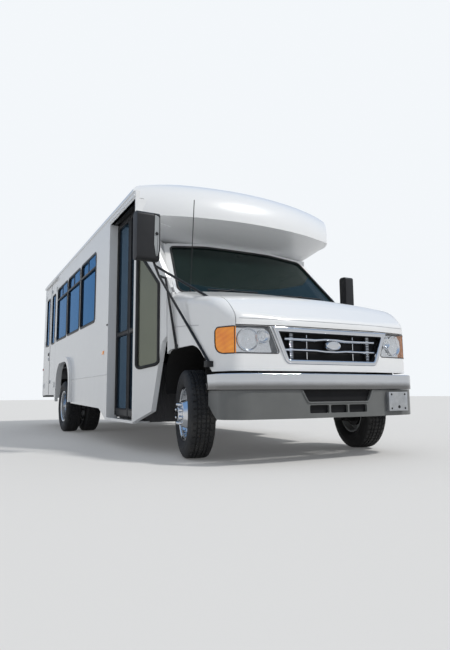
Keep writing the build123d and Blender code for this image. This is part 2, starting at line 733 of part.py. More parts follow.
def entry_leaf(front):
    """One entry leaf: a frame round an upper and a lower pane, and a kick plate."""
    middle = (ENTRY_FRONT + ENTRY_REAR) / 2
    if front:
        low, high = ENTRY_FRONT + DOOR_GAP, middle - CENTRE_GAP / 2
    else:
        low, high = middle + CENTRE_GAP / 2, ENTRY_REAR - DOOR_GAP
    outer = -BODY_HALF + ENTRY_RECESS
    bottom = ENTRY_BOTTOM + 26
    leaf = block(outer, outer + LEAF, low, high, bottom, ENTRY_TOP - DOOR_GAP)
    pin_y = low if front else high
    leaf += tube((outer, pin_y, bottom), (outer, pin_y, ENTRY_TOP - DOOR_GAP), DOOR_GAP - SEAT_GAP)
    bar = 1180
    holes = ((bottom + 70, bar - 20), (bar + 20, ENTRY_TOP - 60))
    glass = Part()
    for z_low, z_high in holes:
        leaf -= side_frame(low + 38, high - 38, z_low, z_high, 30, outer - 1, outer + LEAF + 1)
        pane = side_frame(low + 38, high - 38, z_low, z_high, 30, outer + 15, outer + 21, SEAT_GAP)
        glass += pane
    return leaf, glass


def lift_leaf(front):
    """One lift door leaf, flush with the wall, with a narrow window."""
    middle = (LIFT_FRONT + LIFT_REAR) / 2
    if front:
        low, high = LIFT_FRONT + DOOR_GAP, middle - CENTRE_GAP / 2
    else:
        low, high = middle + CENTRE_GAP / 2, LIFT_REAR - DOOR_GAP
    outer = -BODY_HALF
    leaf = block(outer, outer + WALL, low, high, LIFT_BOTTOM, LIFT_TOP - DOOR_GAP)
    pin_y = low - DOOR_GAP / 2 if front else high + DOOR_GAP / 2
    strap_to = low + 45 if front else high - 45
    leaf += barrels(outer - LIFT_HINGE_OUT, pin_y, LIFT_HINGE_OUT - SEAT_GAP, (700, 1450, 2300),
                    outer + 2, strap_to)
    centre = (low + high) / 2
    z_low, z_high = 1400, 2250
    leaf -= side_frame(centre - 150, centre + 150, z_low, z_high, 50, outer - 1, outer + WALL + 1)
    glass = side_frame(centre - 150, centre + 150, z_low, z_high, 50, outer + 8, outer + 28, SEAT_GAP)
    return leaf, glass


def driver_door():
    """The driver's door with its window opening, and its pane."""
    x_low, x_high = CAB_HALF - DOOR_THICK, CAB_HALF
    rows = [
        (DOOR_FRONT, DOOR_BOTTOM, 30),
        (DOOR_REAR, DOOR_BOTTOM, 60),
        (DOOR_REAR, DOOR_TOP, 60),
        (1852, DOOR_TOP, 60),
        (DOOR_FRONT, 1447, 60),
    ]
    door = from_side(rows, x_low, x_high)
    door += barrels(CAB_HALF + DRIVER_HINGE_OUT, DRIVER_HINGE_Y, DRIVER_HINGE_OUT - SEAT_GAP,
                    (720, 1150), CAB_HALF, DOOR_FRONT + 40)
    window = [(1400, 1340, 30), (2230, 1330, 50), (2230, 1960, 50), (1865, 1960, 60), (1400, 1478, 40)]
    door -= from_side(window, x_low - 1, x_high + 1)
    pane = from_side(window, x_low + 40, x_low + 46)
    return door, pane


# Cab

def glass_band(half, front, back, length):
    """A bowed slab lying along the windshield's rake."""
    rake = math.radians(GLASS_RAKE)
    plane = Plane((0, GLASS_BASE_Y, GLASS_BASE_Z), x_dir=(1, 0, 0),
                  z_dir=(0, math.cos(rake), math.sin(rake)))
    outer = ThreePointArc((-half, GLASS_BOW + front), (0, front), (half, GLASS_BOW + front))
    inner = ThreePointArc((-half, GLASS_BOW + back), (0, back), (half, GLASS_BOW + back))
    ends = [Line((side * half, GLASS_BOW + front), (side * half, GLASS_BOW + back)) for side in (-1, 1)]
    face = make_face([outer, inner] + ends)
    return extrude(plane * face, length)


def glass_outline(margin):
    """The windshield's outline from the front, its top edge crowned, grown by a margin."""
    rows = both_sides([
        (GLASS_BASE_HALF + margin, GLASS_BASE_Z - margin, 60),
        (GLASS_TOP_HALF + margin, GLASS_TOP_Z + margin, 60),
        (0.5 * GLASS_TOP_HALF, GLASS_TOP_Z + 50 + margin, 900),
    ])
    return from_front(rows, 800, 2200)


def windshield():
    """The bowed windshield."""
    return glass_band(CAB_HALF - 18, 4, 12, GLASS_LENGTH) & glass_outline(-SEAT_GAP)


def cab_frame():
    """Windshield surround, cowl, firewall, cab floor and the left door's surround."""
    surround = glass_band(CAB_HALF - 3, -4, 50, GLASS_LENGTH + 60) & glass_outline(SURROUND)
    surround -= glass_outline(0)
    surround -= chin_solid(-SEAT_GAP) + block(-FAR, FAR, 0, HOOD_REAR + HOOD_HINGE_GAP, 0, HOOD_TOP)
    cowl_top = COWL_TOP - 10
    cowl_half = CAB_HALF - 38
    cowl = block(-cowl_half, cowl_half, HOOD_REAR + 8, GLASS_BASE_Y + 120, COWL_TOP - 50, cowl_top)
    for x in (-HOOD_HINGE_X, HOOD_HINGE_X):
        cowl += block(x - 24, x + 24, HOOD_REAR + HOOD_HINGE_GAP, HOOD_REAR + 25,
                      cowl_top - 10, HOOD_HINGE_Z + 4)
    wall_rear = FIREWALL_Y + 25
    floor_rear = DOOR_REAR + 30
    panel_inner = CAB_HALF - PANEL - SEAT_GAP
    firewall = block(-CAB_HALF + 108, panel_inner, FIREWALL_Y, wall_rear, CAB_FLOOR, COWL_TOP - 30)
    cab_floor = block(-560, CAB_INNER, FIREWALL_Y, floor_rear, CAB_FLOOR, CAB_FLOOR + 25)
    shelf = block(-CAB_HALF + 108, CAB_HALF - 108, GLASS_BASE_Y + 80, wall_rear, COWL_TOP - 90, COWL_TOP - 50)
    sill = block(CAB_INNER - 30, CAB_HALF, FENDER_REAR + 20, DOOR_REAR + 40, 480, DOOR_BOTTOM - DOOR_GAP)
    top = CHIN_BOTTOM - SEAT_GAP
    post = block(CAB_HALF - 60, CAB_HALF, DOOR_REAR + DOOR_GAP, DOOR_REAR + 45, 480, top)
    rail = block(CAB_HALF - 150, CAB_HALF, 1790, DOOR_REAR + 45, DOOR_TOP + DOOR_GAP, top)
    floor_edge = block(CAB_INNER - 30, CAB_INNER, FIREWALL_Y, floor_rear, 480, CAB_FLOOR + 25)
    return surround + cowl + firewall + cab_floor + shelf + sill + post + rail + floor_edge


def hood_solid(inset, lift=4):
    """The hood's and the fender tops' envelope: plan, crowned side profile, rounded shoulders."""
    base = from_side([
        (0, SEAM_FRONT + lift, 0),
        (LAMP_REAR, SEAM_FRONT + lift, 0),
        (HOOD_REAR, SEAM_REAR + lift, 0),
        (HOOD_REAR, HOOD_TOP + 200, 0),
        (0, HOOD_TOP + 200, 0),
    ], -FAR, FAR)
    profile = Plane.YZ * outline([
        (0, NOSE_BOTTOM, 0),
        (HOOD_REAR + 50, NOSE_BOTTOM, 0),
        (HOOD_REAR, HOOD_TOP - inset, 0),
        (330 + inset, HOOD_NOSE - inset, 500),
        (62 + inset, 1110, 40),
        (0, 1085, 0),
    ])
    axis = Axis((0, 0, HOOD_TOP - HOOD_CROWN), (0, 1, 0))
    half_turn = math.degrees(1.2 * CAB_HALF / HOOD_CROWN)
    crowned = revolve(profile.rotate(axis, -half_turn), axis, 2 * half_turn)
    shape = nose_plan(inset, 900, 1700) & base & crowned
    shoulders = [edge for edge in shape.edges() if abs(edge.center().X) > 0.85 * CAB_HALF
                 and edge.center().Z > SEAM_REAR + 60 and edge.center().Y < HOOD_REAR - 5
                 and abs(edge.tangent_at(0.5).Z) < 0.7]
    return fillet(shoulders, SHOULDER - inset)


HOOD_HINGE_X = 350
HOOD_HINGE_Z = 1478
HOOD_HINGE_GAP = 8


def hood():
    """The hood panel between the fender tops, open below."""
    panel = hood_solid(0) - hood_solid(PANEL)
    panel &= block(-HOOD_HALF, HOOD_HALF, 0, HOOD_REAR, 0, 2 * HOOD_TOP)
    for x in (-HOOD_HINGE_X, HOOD_HINGE_X):
        low, high = (x - 20, HOOD_REAR, HOOD_HINGE_Z), (x + 20, HOOD_REAR, HOOD_HINGE_Z)
        panel += tube(low, high, HOOD_HINGE_GAP - SEAT_GAP)
    return panel


GRILLE_TOP = 1038
GRILLE_BOTTOM = 752
GRILLE_TOP_HALF = CAB_HALF - 430
GRILLE_BOTTOM_HALF = GRILLE_TOP_HALF - 123
LAMP_TOP = 1036
LAMP_BOTTOM = 832
LAMP_REAR = 345
LAMP_SPLIT = CAB_HALF - 156


def grille_rows(inset):
    """The grille's outline from the front, drawn in by inset."""
    return both_sides([
        (GRILLE_TOP_HALF - inset, GRILLE_TOP - inset * 0.7, 0),
        (GRILLE_BOTTOM_HALF - inset * 0.6, GRILLE_BOTTOM + inset * 0.7, max(60 - inset / 2, 1)),
    ])


def lamp_envelope(side, inset=0):
    """The lamps' opening from the front, its inner edge along the grille's, its outer end rounded."""
    rows = [
        (GRILLE_TOP_HALF + 12 + inset, LAMP_TOP - inset, 10),
        (CAB_HALF + 90, LAMP_TOP - inset, 0),
        (CAB_HALF + 90, LAMP_BOTTOM + inset, 0),
        (GRILLE_BOTTOM_HALF + 53 + inset, LAMP_BOTTOM + inset, 20),
    ]
    front = from_front([(side * x, z, radius) for x, z, radius in rows], 0, LAMP_REAR)
    rear = LAMP_REAR - 30 - inset
    end = from_side([
        (-1, LAMP_BOTTOM - 9, 0), (rear, LAMP_BOTTOM + inset, 90), (rear, LAMP_TOP - inset, 30),
        (-1, LAMP_TOP + 9, 0)], -FAR, FAR)
    return front & end


def cab_skin(lift):
    """The front sheet metal up to the hood seam, before it is split in panels."""
    skin = nose_plan(0, NOSE_BOTTOM - 60, COWL_TOP) - nose_plan(PANEL, NOSE_BOTTOM - 61, COWL_TOP + 1)
    keep = from_side([
        (0, NOSE_BOTTOM, 0),
        (345, NOSE_BOTTOM, 0),
        (550, 926, 200),
        (1170, 926, 150),
        (1215, 760, 0),
        (FENDER_REAR, 560, 0),
        (FENDER_REAR, COWL_TOP, 0),
        (HOOD_REAR, COWL_TOP, 0),
        (HOOD_REAR, SEAM_REAR + lift, 0),
        (LAMP_REAR, SEAM_FRONT + lift, 0),
        (0, SEAM_FRONT + lift, 0),
    ], -FAR, FAR)
    return skin & keep


def nose_and_fenders():
    """The grille panel, and the two fenders with the tops that run beside the hood."""
    holes = lamp_envelope(1) + lamp_envelope(-1) + from_front(grille_rows(0), 0, 250)
    nose = (cab_skin(-4) & block(-FAR, FAR, 0, LAMP_REAR, 0, SEAM_REAR)) - holes
    fenders = cab_skin(2) & block(-FAR, FAR, LAMP_REAR + SEAT_GAP, 1400, 0, 2 * COWL_TOP)
    lift = SEAT_GAP - 4
    inner = HOOD_HALF + DOOR_GAP
    tops = hood_solid(0, lift) - hood_solid(PANEL, lift - 1)
    fenders += tops - block(-inner, inner, 0, HOOD_REAR + 1, 0, 2 * HOOD_TOP)
    fenders -= block(-FAR, -CAB_HALF + 108, CORNER_FRONT - SEAT_GAP, 1400, 500, 1500)
    return nose, fenders


def lamps():
    """Clear headlamps and amber corner lamps, flush with the sheet metal."""
    body = nose_plan(2, 700, 1040) - nose_plan(70, 600, 1100)
    clear = Part()
    amber = Part()
    for side in (-1, 1):
        whole = body & lamp_envelope(side, SEAT_GAP)
        low, high = sorted((side * LAMP_SPLIT, side * FAR))
        amber += whole & block(low, high, 0, LAMP_REAR, 700, 1100)
        low, high = sorted((0, side * (LAMP_SPLIT - SEAT_GAP)))
        clear += whole & block(low, high, 0, LAMP_REAR, 700, 1100)
    return clear, amber


def grille():
    """Bright grille: frame, two bars that part round the bare badge seat, and uprights."""
    frame = from_front(grille_rows(SEAT_GAP), 60, 130) - from_front(grille_rows(46), 50, 140)
    bars = Part()
    reach = GRILLE_BOTTOM_HALF - 15
    middle = (GRILLE_TOP + GRILLE_BOTTOM) / 2
    for side in (-1, 1):
        near = middle + side * 62
        far = middle + side * 42
        rows = [(-reach, far, 0), (-190, far, 60), (-90, near, 60),
                (90, near, 60), (190, far, 60), (reach, far, 0)]
        under = [(x, z - 22, radius) for x, z, radius in reversed(rows)]
        bars += from_front(rows + under, 88, 115)
    badge = Plane((0, 80, middle), x_dir=(1, 0, 0), z_dir=(0, -1, 0)) * Ellipse(118, 52)
    bars += extrude(badge, -35)
    for x in (-0.88 * reach, -0.45 * reach, 0.45 * reach, 0.88 * reach):
        bars += block(x - 8, x + 8, 92, 118, GRILLE_BOTTOM + 30, GRILLE_TOP - 28)
    return frame + bars


def front_bumper():
    """The bright bumper bar, wrapped round the corners."""
    bar = bumper_plan(0, BUMPER_BOTTOM, BUMPER_TOP) - bumper_plan(60, BUMPER_BOTTOM - 1, BUMPER_TOP + 1)
    bracket_rear = FRAME_FRONT - SEAT_GAP
    brackets = block(-430, -370, 55, bracket_rear, 580, 660) + block(370, 430, 55, bracket_rear, 580, 660)
    return bar + brackets


def front_valance():
    """The dark valance under the bumper, with its air openings."""
    skin = bumper_plan(18, VALANCE_BOTTOM, BUMPER_BOTTOM - SEAT_GAP)
    skin -= bumper_plan(40, VALANCE_BOTTOM - 1, BUMPER_BOTTOM)
    skin -= from_front(both_sides([(350, BUMPER_BOTTOM + 4, 0), (300, 462, 0)]), -1, 200)
    for low, high in ((-285, -100), (-85, 85), (100, 285)):
        skin -= from_front(frame_rows(low, high, 378, 440, 12), -1, 200)
    return skin - from_side([(200, 300, 0), (500, 300, 0), (500, 520, 0), (330, 380, 80)], -FAR, FAR)


PLATE_X = 625


def plate_bracket():
    """The bare plate bracket on the left of the valance."""
    low, high = PLATE_X - 105, PLATE_X + 105
    plate = block(low, high, 6, 100, 380, 536) - block(low + 3, high - 3, 9, 101, 379, 537)
    plate -= bumper_plan(18 - SEAT_GAP, VALANCE_BOTTOM, BUMPER_BOTTOM)
    for x in (PLATE_X - 75, PLATE_X + 75):
        for z in (400, 516):
            plate -= Pos(x, 7, z) * Cylinder(6, 20, rotation=(90, 0, 0))
    return plate


# Fittings

def mirror_right():
    """The near mirror: housing on a knuckle of tubes, braced to the fender at three feet."""
    out = -CAB_HALF
    head = from_side([
        (1010, 1705, 30), (1120, 1705, 40), (1130, 2150, 40), (1000, 2140, 40)], out - 345, out - 135)
    knot = (out - 105, 1100, 1590)
    tripod = tube((out - 165, 1090, 1720), knot, 11)
    tripod += tube(knot, (out - 40, 1100, 1575), 11)
    tripod += tube((out - 40, 1100, 1575), (out - 8, 922, 935), 11)
    tripod += tube(knot, (out + 43, 360, 758), 11)
    tripod += tube((out - 150, 1095, 1680), (out + 132, 390, 1247), 11)
    feet = block(out - 14, out + 20, 900, 944, 915, 955)
    feet += block(out + 5, out + 90, 330, 390, 735, 781)
    feet -= nose_plan(-SEAT_GAP, 700, 1000)
    top_foot = block(out + 112, out + 148, 370, 410, 1190, 1262)
    return head + (tripod - nose_plan(-SEAT_GAP, 700, 1000) + feet) + top_foot - hood_solid(-SEAT_GAP, -4)


def mirror_left():
    """The driver's mirror on the door."""
    out = CAB_HALF
    head = from_side([
        (1320, 1515, 30), (1430, 1515, 30), (1430, 1860, 30), (1320, 1860, 30)], out + 235, out + 345)
    arms = tube((out + 10, 1355, 1310), (out + 270, 1375, 1545), 11)
    arms += tube((out + 10, 1355, 1250), (out + 270, 1375, 1530), 11)
    arms += block(out + SEAT_GAP, out + 14, 1335, 1375, 1225, 1335)
    return head + arms


def wipers():
    """Two wipers parked along the windshield's base."""
    arms = Part()
    for x in (-620, 180):
        middle = x + 270
        arms += tube((x, 1050, COWL_TOP - 10 + SEAT_GAP), (x, 1050, 1468), 8)
        arms += tube((x, 1050, 1462), (middle, glass_face(middle, 1512) - 12, 1512), 6)
        arms += tube((x, glass_face(x, 1505) - 12, 1505), (x + 540, glass_face(x + 540, 1517) - 12, 1517), 7)
    return arms


def antenna():
    """The whip aerial on the right of the cowl."""
    x = -CAB_HALF + 183
    base = tube((x, 1055, COWL_TOP - 10 + SEAT_GAP), (x, 1055, 1476), 10)
    return base + tube((x, 1055, 1466), (x + 15, 1000, 2319), 4)


def roof_height(x):
    """Height of the roof's crown at x."""
    rise = ROOF_TOP - EAVE
    radius = (BODY_HALF ** 2 + rise ** 2) / (2 * rise)
    return ROOF_TOP - radius + math.sqrt(radius ** 2 - x ** 2)


def marker_lamps():
    """Amber clearance lamps on the front cap."""
    lamps_row = Part()
    for x in (-0.74 * BODY_HALF, -250, 0, 250, 0.74 * BODY_HALF):
        lamps_row += block(x - 45, x + 45, 1800, 1840, EAVE, roof_height(x) + 14)
    return lamps_row - body_section(-SEAT_GAP, WALL_TOP, 1700, 1900)


def tail_lamps():
    """Tail lamps on the rear end."""
    lights = Part()
    for x in (-BODY_HALF + 139, BODY_HALF - 139):
        for z in (1000, 1140, 1280):
            lights += Pos(x, BODY_REAR + 14, z) * Cylinder(52, 28 - 2 * SEAT_GAP, rotation=(90, 0, 0))
    return lights


def rear_bumper():
    """The black rear bumper with end returns and its bolted brackets."""
    bumper = block(-BODY_HALF + 39, BODY_HALF - 39, LENGTH - 70, LENGTH, 500, 660)
    for x in (-395, 395):
        bumper += block(x - 30, x + 30, BODY_REAR - 160, LENGTH - 65,
                        450, FRAME_TOP - FRAME_RAIL_HEIGHT - SEAT_GAP)
    return bumper


def dashboard():
    """Dashboard, steering column and wheel."""
    dash = block(-CAB_HALF + 158, CAB_HALF - 158, FIREWALL_Y + 25 + SEAT_GAP, 1520, 1180, 1350)
    dash += tube((430, 1500, 1220), (430, 1772, 1335), 25)
    ring = Pos(430, 1775, 1336) * Rot(-67, 0, 0) * (Cylinder(190, 28) - Cylinder(165, 40))
    spoke = Pos(430, 1775, 1336) * Rot(-67, 0, 0) * Box(370, 40, 20)
    return dash + ring + spoke


def seats():
    """The driver's seat and the passenger seats."""
    rows = Part()
    base = FLOOR_UNDER + FLOOR_THICK + SEAT_GAP
    rows += seat(430, 1960, CAB_FLOOR + 25 + SEAT_GAP, 500)
    for y in (2900, 3700):
        for x in (-BODY_HALF + 499, BODY_HALF - 499):
            rows += seat(x, y, base, 860)
    return rows


def seat(x, y, base, width):
    """One seat: pedestal, cushion and back."""
    half = width / 2
    shape = block(x - half + 100, x + half - 100, y - 180, y + 180, base, base + 300)
    shape += block(x - half, x + half, y - 250, y + 250, base + 290, base + 420)
    return shape + block(x - half, x + half, y + 190, y + 290, base + 400, base + 1080)


def build():
    """Every sub-part by name."""
    parts = {
        "chassis_frame": chassis_frame(),
        "engine": engine(),
        "radiator": radiator(),
        "front_axle": front_axle(),
        "rear_axle": rear_axle(),
        "fuel_tank": fuel_tank(),
        "exhaust": exhaust(),
        "floor": floor(),
        "front_cap": front_cap(),
        "roof": roof(),
        "rear_cap": rear_cap(),
        "windows": windows(),
        "wheel_flares": wheel_flares(),
        "entry_corner": entry_corner(),
        "driver_corner": driver_corner(),
        "cab_frame": cab_frame(),
        "windshield": windshield(),
        "hood": hood(),
        "grille": grille(),
        "front_bumper": front_bumper(),
        "front_valance": front_valance(),
        "plate_bracket": plate_bracket(),
        "mirror_right": mirror_right(),
        "mirror_left": mirror_left(),
        "wipers": wipers(),
        "antenna": antenna(),
        "marker_lamps": marker_lamps(),
        "tail_lamps": tail_lamps(),
        "rear_bumper": rear_bumper(),
        "dashboard": dashboard(),
        "seats": seats(),
    }
    parts["grille_panel"], parts["fenders"] = nose_and_fenders()
    parts["headlamps"], parts["corner_lamps"] = lamps()
    parts["driver_door"], parts["driver_door_glass"] = driver_door()
    for name, side in (("left", 1), ("right", -1)):
        parts["side_wall_" + name] = side_wall(side)
        parts["knuckle_" + name] = knuckle(side)
        parts["tyre_front_" + name], parts["rim_front_" + name] = front_wheel(side)
        parts["tyres_rear_" + name], parts["rims_rear_" + name] = rear_wheels(side)
    for name, front in (("front", True), ("rear", False)):
        parts["entry_door_" + name], parts["entry_glass_" + name] = entry_leaf(front)
        parts["lift_door_" + name], parts["lift_glass_" + name] = lift_leaf(front)
    return parts


os.makedirs("parts", exist_ok=True)
for node, shape in build().items():
    export_step(Pos(0, -LENGTH / 2, 0) * shape, "parts/" + node + ".step")
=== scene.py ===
import bmesh
import bpy
import math
from mathutils import Matrix, Vector
from mathutils.bvhtree import BVHTree


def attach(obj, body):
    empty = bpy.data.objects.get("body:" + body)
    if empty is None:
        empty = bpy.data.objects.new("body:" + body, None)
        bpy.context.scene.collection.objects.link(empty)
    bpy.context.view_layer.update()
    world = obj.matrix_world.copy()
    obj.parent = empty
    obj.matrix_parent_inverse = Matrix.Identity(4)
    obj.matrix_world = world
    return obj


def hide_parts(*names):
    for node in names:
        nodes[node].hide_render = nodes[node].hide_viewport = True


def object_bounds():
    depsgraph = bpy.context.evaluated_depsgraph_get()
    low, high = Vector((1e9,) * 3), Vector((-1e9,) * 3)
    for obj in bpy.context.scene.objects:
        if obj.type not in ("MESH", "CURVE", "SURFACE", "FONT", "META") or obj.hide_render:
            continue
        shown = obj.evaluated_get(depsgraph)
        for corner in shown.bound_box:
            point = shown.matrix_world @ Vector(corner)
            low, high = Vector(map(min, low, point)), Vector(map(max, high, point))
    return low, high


# The dressed model of a shuttle bus on a cutaway van chassis, in metres.
# x runs to the vehicle's left, y to its rear, z up; the origin is on the ground at mid length.

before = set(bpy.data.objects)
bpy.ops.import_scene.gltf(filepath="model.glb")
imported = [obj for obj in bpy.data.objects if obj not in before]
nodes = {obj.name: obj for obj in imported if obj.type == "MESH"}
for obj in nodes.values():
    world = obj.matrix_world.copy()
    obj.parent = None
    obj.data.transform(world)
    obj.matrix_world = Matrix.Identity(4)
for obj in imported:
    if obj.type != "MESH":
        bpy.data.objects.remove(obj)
cad_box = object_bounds()
FRONT = -(cad_box[1][1] - cad_box[0][1]) / 2


# Shader maths

class Wire:
    """A shader value: a sum or product of wires adds its Math node."""

    def __init__(self, board, socket):
        self.board = board
        self.socket = socket

    def math(self, operation, left, right):
        return self.board.add("ShaderNodeMath", {"operation": operation}, {0: left, 1: right})

    def __add__(self, other):
        return self.math("ADD", self, other)

    def __sub__(self, other):
        return self.math("SUBTRACT", self, other)

    def __rsub__(self, other):
        return self.math("SUBTRACT", other, self)

    def __mul__(self, other):
        return self.math("MULTIPLY", self, other)

    def larger(self, other):
        return self.math("MAXIMUM", self, other)

    __radd__ = __add__
    __rmul__ = __mul__


class Board:
    """The nodes of a material, or of the world: built up by add, and joined to a surface by finish."""

    def __init__(self, name, world=None):
        self.material = world or bpy.data.materials.new(name)
        self.material.use_nodes = True
        self.tree = self.material.node_tree
        self.surface = self.tree.nodes.get("Principled BSDF")

    def feed(self, socket, value):
        """Link a wire to a socket, or set a plain value on it."""
        if isinstance(value, Wire):
            self.tree.links.new(value.socket, socket)
        else:
            socket.default_value = value

    def add(self, kind, settings=None, inputs=None, output=0):
        """A node of any kind: its settings, then what its sockets take; returns one output."""
        node = self.tree.nodes.new(kind)
        for key, value in (settings or {}).items():
            setattr(node, key, value)
        for key, value in (inputs or {}).items():
            self.feed(node.inputs[key], value)
        return Wire(self, node.outputs[output])

    def place(self):
        """Object coordinates, in metres."""
        return self.add("ShaderNodeTexCoord", output="Object")

    def axes(self):
        """Object coordinates as three wires."""
        split = self.tree.nodes.new("ShaderNodeSeparateXYZ")
        self.feed(split.inputs[0], self.place())
        return [Wire(self, split.outputs[i]) for i in range(3)]

    def noise(self, scale, detail=3.0, roughness=0.5, stretch=(1, 1, 1)):
        """Smooth noise from 0 to 1 with about scale features a metre."""
        vector = self.add("ShaderNodeMapping", None, {"Vector": self.place(), "Scale": stretch})
        return self.add("ShaderNodeTexNoise", None, {
            "Vector": vector, "Scale": scale, "Detail": detail, "Roughness": roughness})

    def waves(self, scale, way="X"):
        """Even waves along a direction."""
        return self.add("ShaderNodeTexWave", {"bands_direction": way}, {
            "Vector": self.place(), "Scale": scale})

    def cells(self, scale):
        """Rounded cells."""
        return self.add("ShaderNodeTexVoronoi", None, {"Vector": self.place(), "Scale": scale})

    def step(self, value, low, high):
        """0 below low, 1 above high, smooth between."""
        return self.add("ShaderNodeMapRange", {"interpolation_type": "SMOOTHSTEP"}, {
            "Value": value, "From Min": low, "From Max": high, "To Min": 0.0, "To Max": 1.0})

    def between(self, factor, first, second):
        """A colour between two."""
        node = self.tree.nodes.new("ShaderNodeMix")
        node.data_type = "RGBA"
        self.feed(node.inputs[0], factor)
        self.feed(node.inputs[6], first)
        self.feed(node.inputs[7], second)
        return Wire(self, node.outputs[2])

    def bump(self, height, distance, strength=1.0):
        """A normal from a height wire, distance in metres."""
        return self.add("ShaderNodeBump", None, {
            "Height": height, "Distance": distance, "Strength": strength})

    def ray(self, kind):
        """1 for rays of a kind, and 0 for all others."""
        return self.add("ShaderNodeLightPath", output="Is %s Ray" % kind)

    def finish(self, **sockets):
        """Set the surface's sockets, underscores for spaces, and return the material."""
        for key, value in sockets.items():
            self.feed(self.surface.inputs[key.replace("_", " ")], value)
        return self.material


def rgb(red, green, blue):
    """A colour that hides what is behind it."""
    return (red, green, blue, 1.0)


# Finishes: noise scales are features a metre, and bump depths are metres

SKIRT_LOW = 0.25
SKIRT_HIGH = 1.1
ORANGE_PEEL = 420.0
SKY_SHEEN = rgb(0.55, 0.75, 1.0)
# Dark colour of the painted reflection of the ground on chrome.
PAINTED_GROUND_REFLECTION = rgb(0.10, 0.095, 0.09)
STRONG_MIRROR = 0.8
WEAK_MIRROR = 0.6


def paint(name, colour, shade, roughness=0.22):
    """Glossy vehicle paint: a faint road film towards the skirts, and orange peel."""
    board = Board(name)
    height = board.axes()[2]
    film = (1 - board.step(height, SKIRT_LOW, SKIRT_HIGH)) * board.noise(5.0, 5.0) * 0.5
    mottle = board.noise(1.4, 4.0) * 0.35
    colour = board.between(film + mottle * 0.3, colour, shade)
    peel = board.noise(ORANGE_PEEL, 1.0)
    return board.finish(
        Base_Color=colour, Roughness=roughness + board.noise(9.0, 3.0) * 0.07,
        Coat_Weight=0.5, Coat_Roughness=0.06, Normal=board.bump(peel, 0.00006, 0.5))


def bright_metal(name, colour=rgb(0.72, 0.73, 0.75), roughness=0.05, film=None):
    """Chromed steel with faint wiping marks; where film's two heights are given, it is darker and rougher
    below them, a painted reflection of the dark ground.
    """
    board = Board(name)
    wipe = board.noise(6.0, 5.0, 0.6, (1, 1, 5))
    colour = board.between(board.noise(3.0), colour, rgb(0.62, 0.64, 0.67))
    rough = roughness + wipe * 0.07
    # Painted reflection: the chrome darkens below film's heights, standing in for the dark ground it mirrors.
    if film:
        painted_reflection = 1 - board.step(board.axes()[2] + wipe * 0.012, film[0], film[1])
        colour = board.between(painted_reflection * 0.85, colour, PAINTED_GROUND_REFLECTION)
        rough = rough + painted_reflection * 0.10
    return board.finish(
        Base_Color=colour, Metallic=1.0, Roughness=rough,
        Normal=board.bump(board.noise(60.0, 2.0), 0.0001, 0.25))


def moulded(name, colour, other, roughness=0.5, grain=700.0, depth=0.0001):
    """Grained moulded plastic."""
    board = Board(name)
    return board.finish(
        Base_Color=board.between(board.noise(7.0, 4.0), colour, other),
        Roughness=roughness + board.noise(11.0, 3.0) * 0.12, Specular_IOR_Level=0.3,
        Normal=board.bump(board.cells(grain), depth, 0.6))


def rubber(name, colour=rgb(0.016, 0.016, 0.017), dust=rgb(0.055, 0.052, 0.048)):
    """Black rubber with dust in patches."""
    board = Board(name)
    patches = board.step(board.noise(8.0, 6.0, 0.65), 0.42, 0.75)
    return board.finish(
        Base_Color=board.between(patches * 0.6, colour, dust), Roughness=0.62 + board.noise(30.0) * 0.2,
        Normal=board.bump(board.noise(260.0, 3.0), 0.0003, 0.5))


def tinted_glass(name, colour, alpha, sheen=SKY_SHEEN, film=0.0, bend=1.62):
    """Dark glass: sheen tints what it mirrors, film makes it a metal mirror, bend is its refraction."""
    board = Board(name)
    smear = board.noise(2.5, 5.0, 0.6)
    return board.finish(
        Base_Color=board.between(smear * 0.25, colour, rgb(0.03, 0.045, 0.055)),
        Roughness=0.015 + smear * 0.03, Metallic=film, Alpha=alpha, IOR=bend, Specular_Tint=sheen)


def lens(name, colour, deep, alpha, ribs, depth=0.0012, way="X", glow=0.0):
    """A moulded lamp lens with fine flutes across way, facets, and a little glow of its own."""
    board = Board(name)
    wave = board.waves(ribs, way)
    facet = board.cells(ribs * 0.9)
    return board.finish(
        Base_Color=board.between(wave * 0.22 + facet * 0.6, colour, deep), Emission_Color=colour,
        Emission_Strength=glow, Roughness=0.10 + board.noise(25.0) * 0.05,
        Alpha=alpha, Coat_Weight=1.0, Coat_Roughness=0.03, Normal=board.bump(wave + facet, depth, 0.6))


def chassis_paint(name, colour, rust=rgb(0.10, 0.055, 0.03), amount=0.35):
    """Dull paint with patches of rust or dirt."""
    board = Board(name)
    spots = board.step(board.noise(14.0, 8.0, 0.7), 0.55, 0.78)
    return board.finish(
        Base_Color=board.between(spots * amount, colour, rust), Roughness=0.55 + spots * 0.3,
        Metallic=0.1, Normal=board.bump(board.noise(90.0, 5.0), 0.0005, 0.6))


def bare_steel(name, colour, stain):
    """Aluminised steel that has been hot and wet."""
    board = Board(name)
    patches = board.noise(10.0, 7.0, 0.7)
    return board.finish(
        Base_Color=board.between(board.step(patches, 0.4, 0.7), colour, stain), Metallic=0.85,
        Roughness=0.38 + patches * 0.25, Normal=board.bump(board.noise(140.0, 4.0), 0.0003, 0.5))


def ribbed_floor(name, colour):
    """Ribbed rubber flooring."""
    board = Board(name)
    return board.finish(
        Base_Color=board.between(board.noise(4.0, 6.0), colour, rgb(0.05, 0.05, 0.055)),
        Roughness=0.7, Normal=board.bump(board.waves(16.0), 0.002, 0.8))


def woven(name, colour, fleck):
    """Woven seat cloth with light flecks."""
    board = Board(name)
    weave = board.waves(180.0, "X") * board.waves(180.0, "Z")
    dots = board.step(board.noise(160.0, 1.0), 0.62, 0.7)
    return board.finish(
        Base_Color=board.between(dots, colour, fleck), Roughness=0.9,
        Normal=board.bump(weave, 0.0006, 0.8))


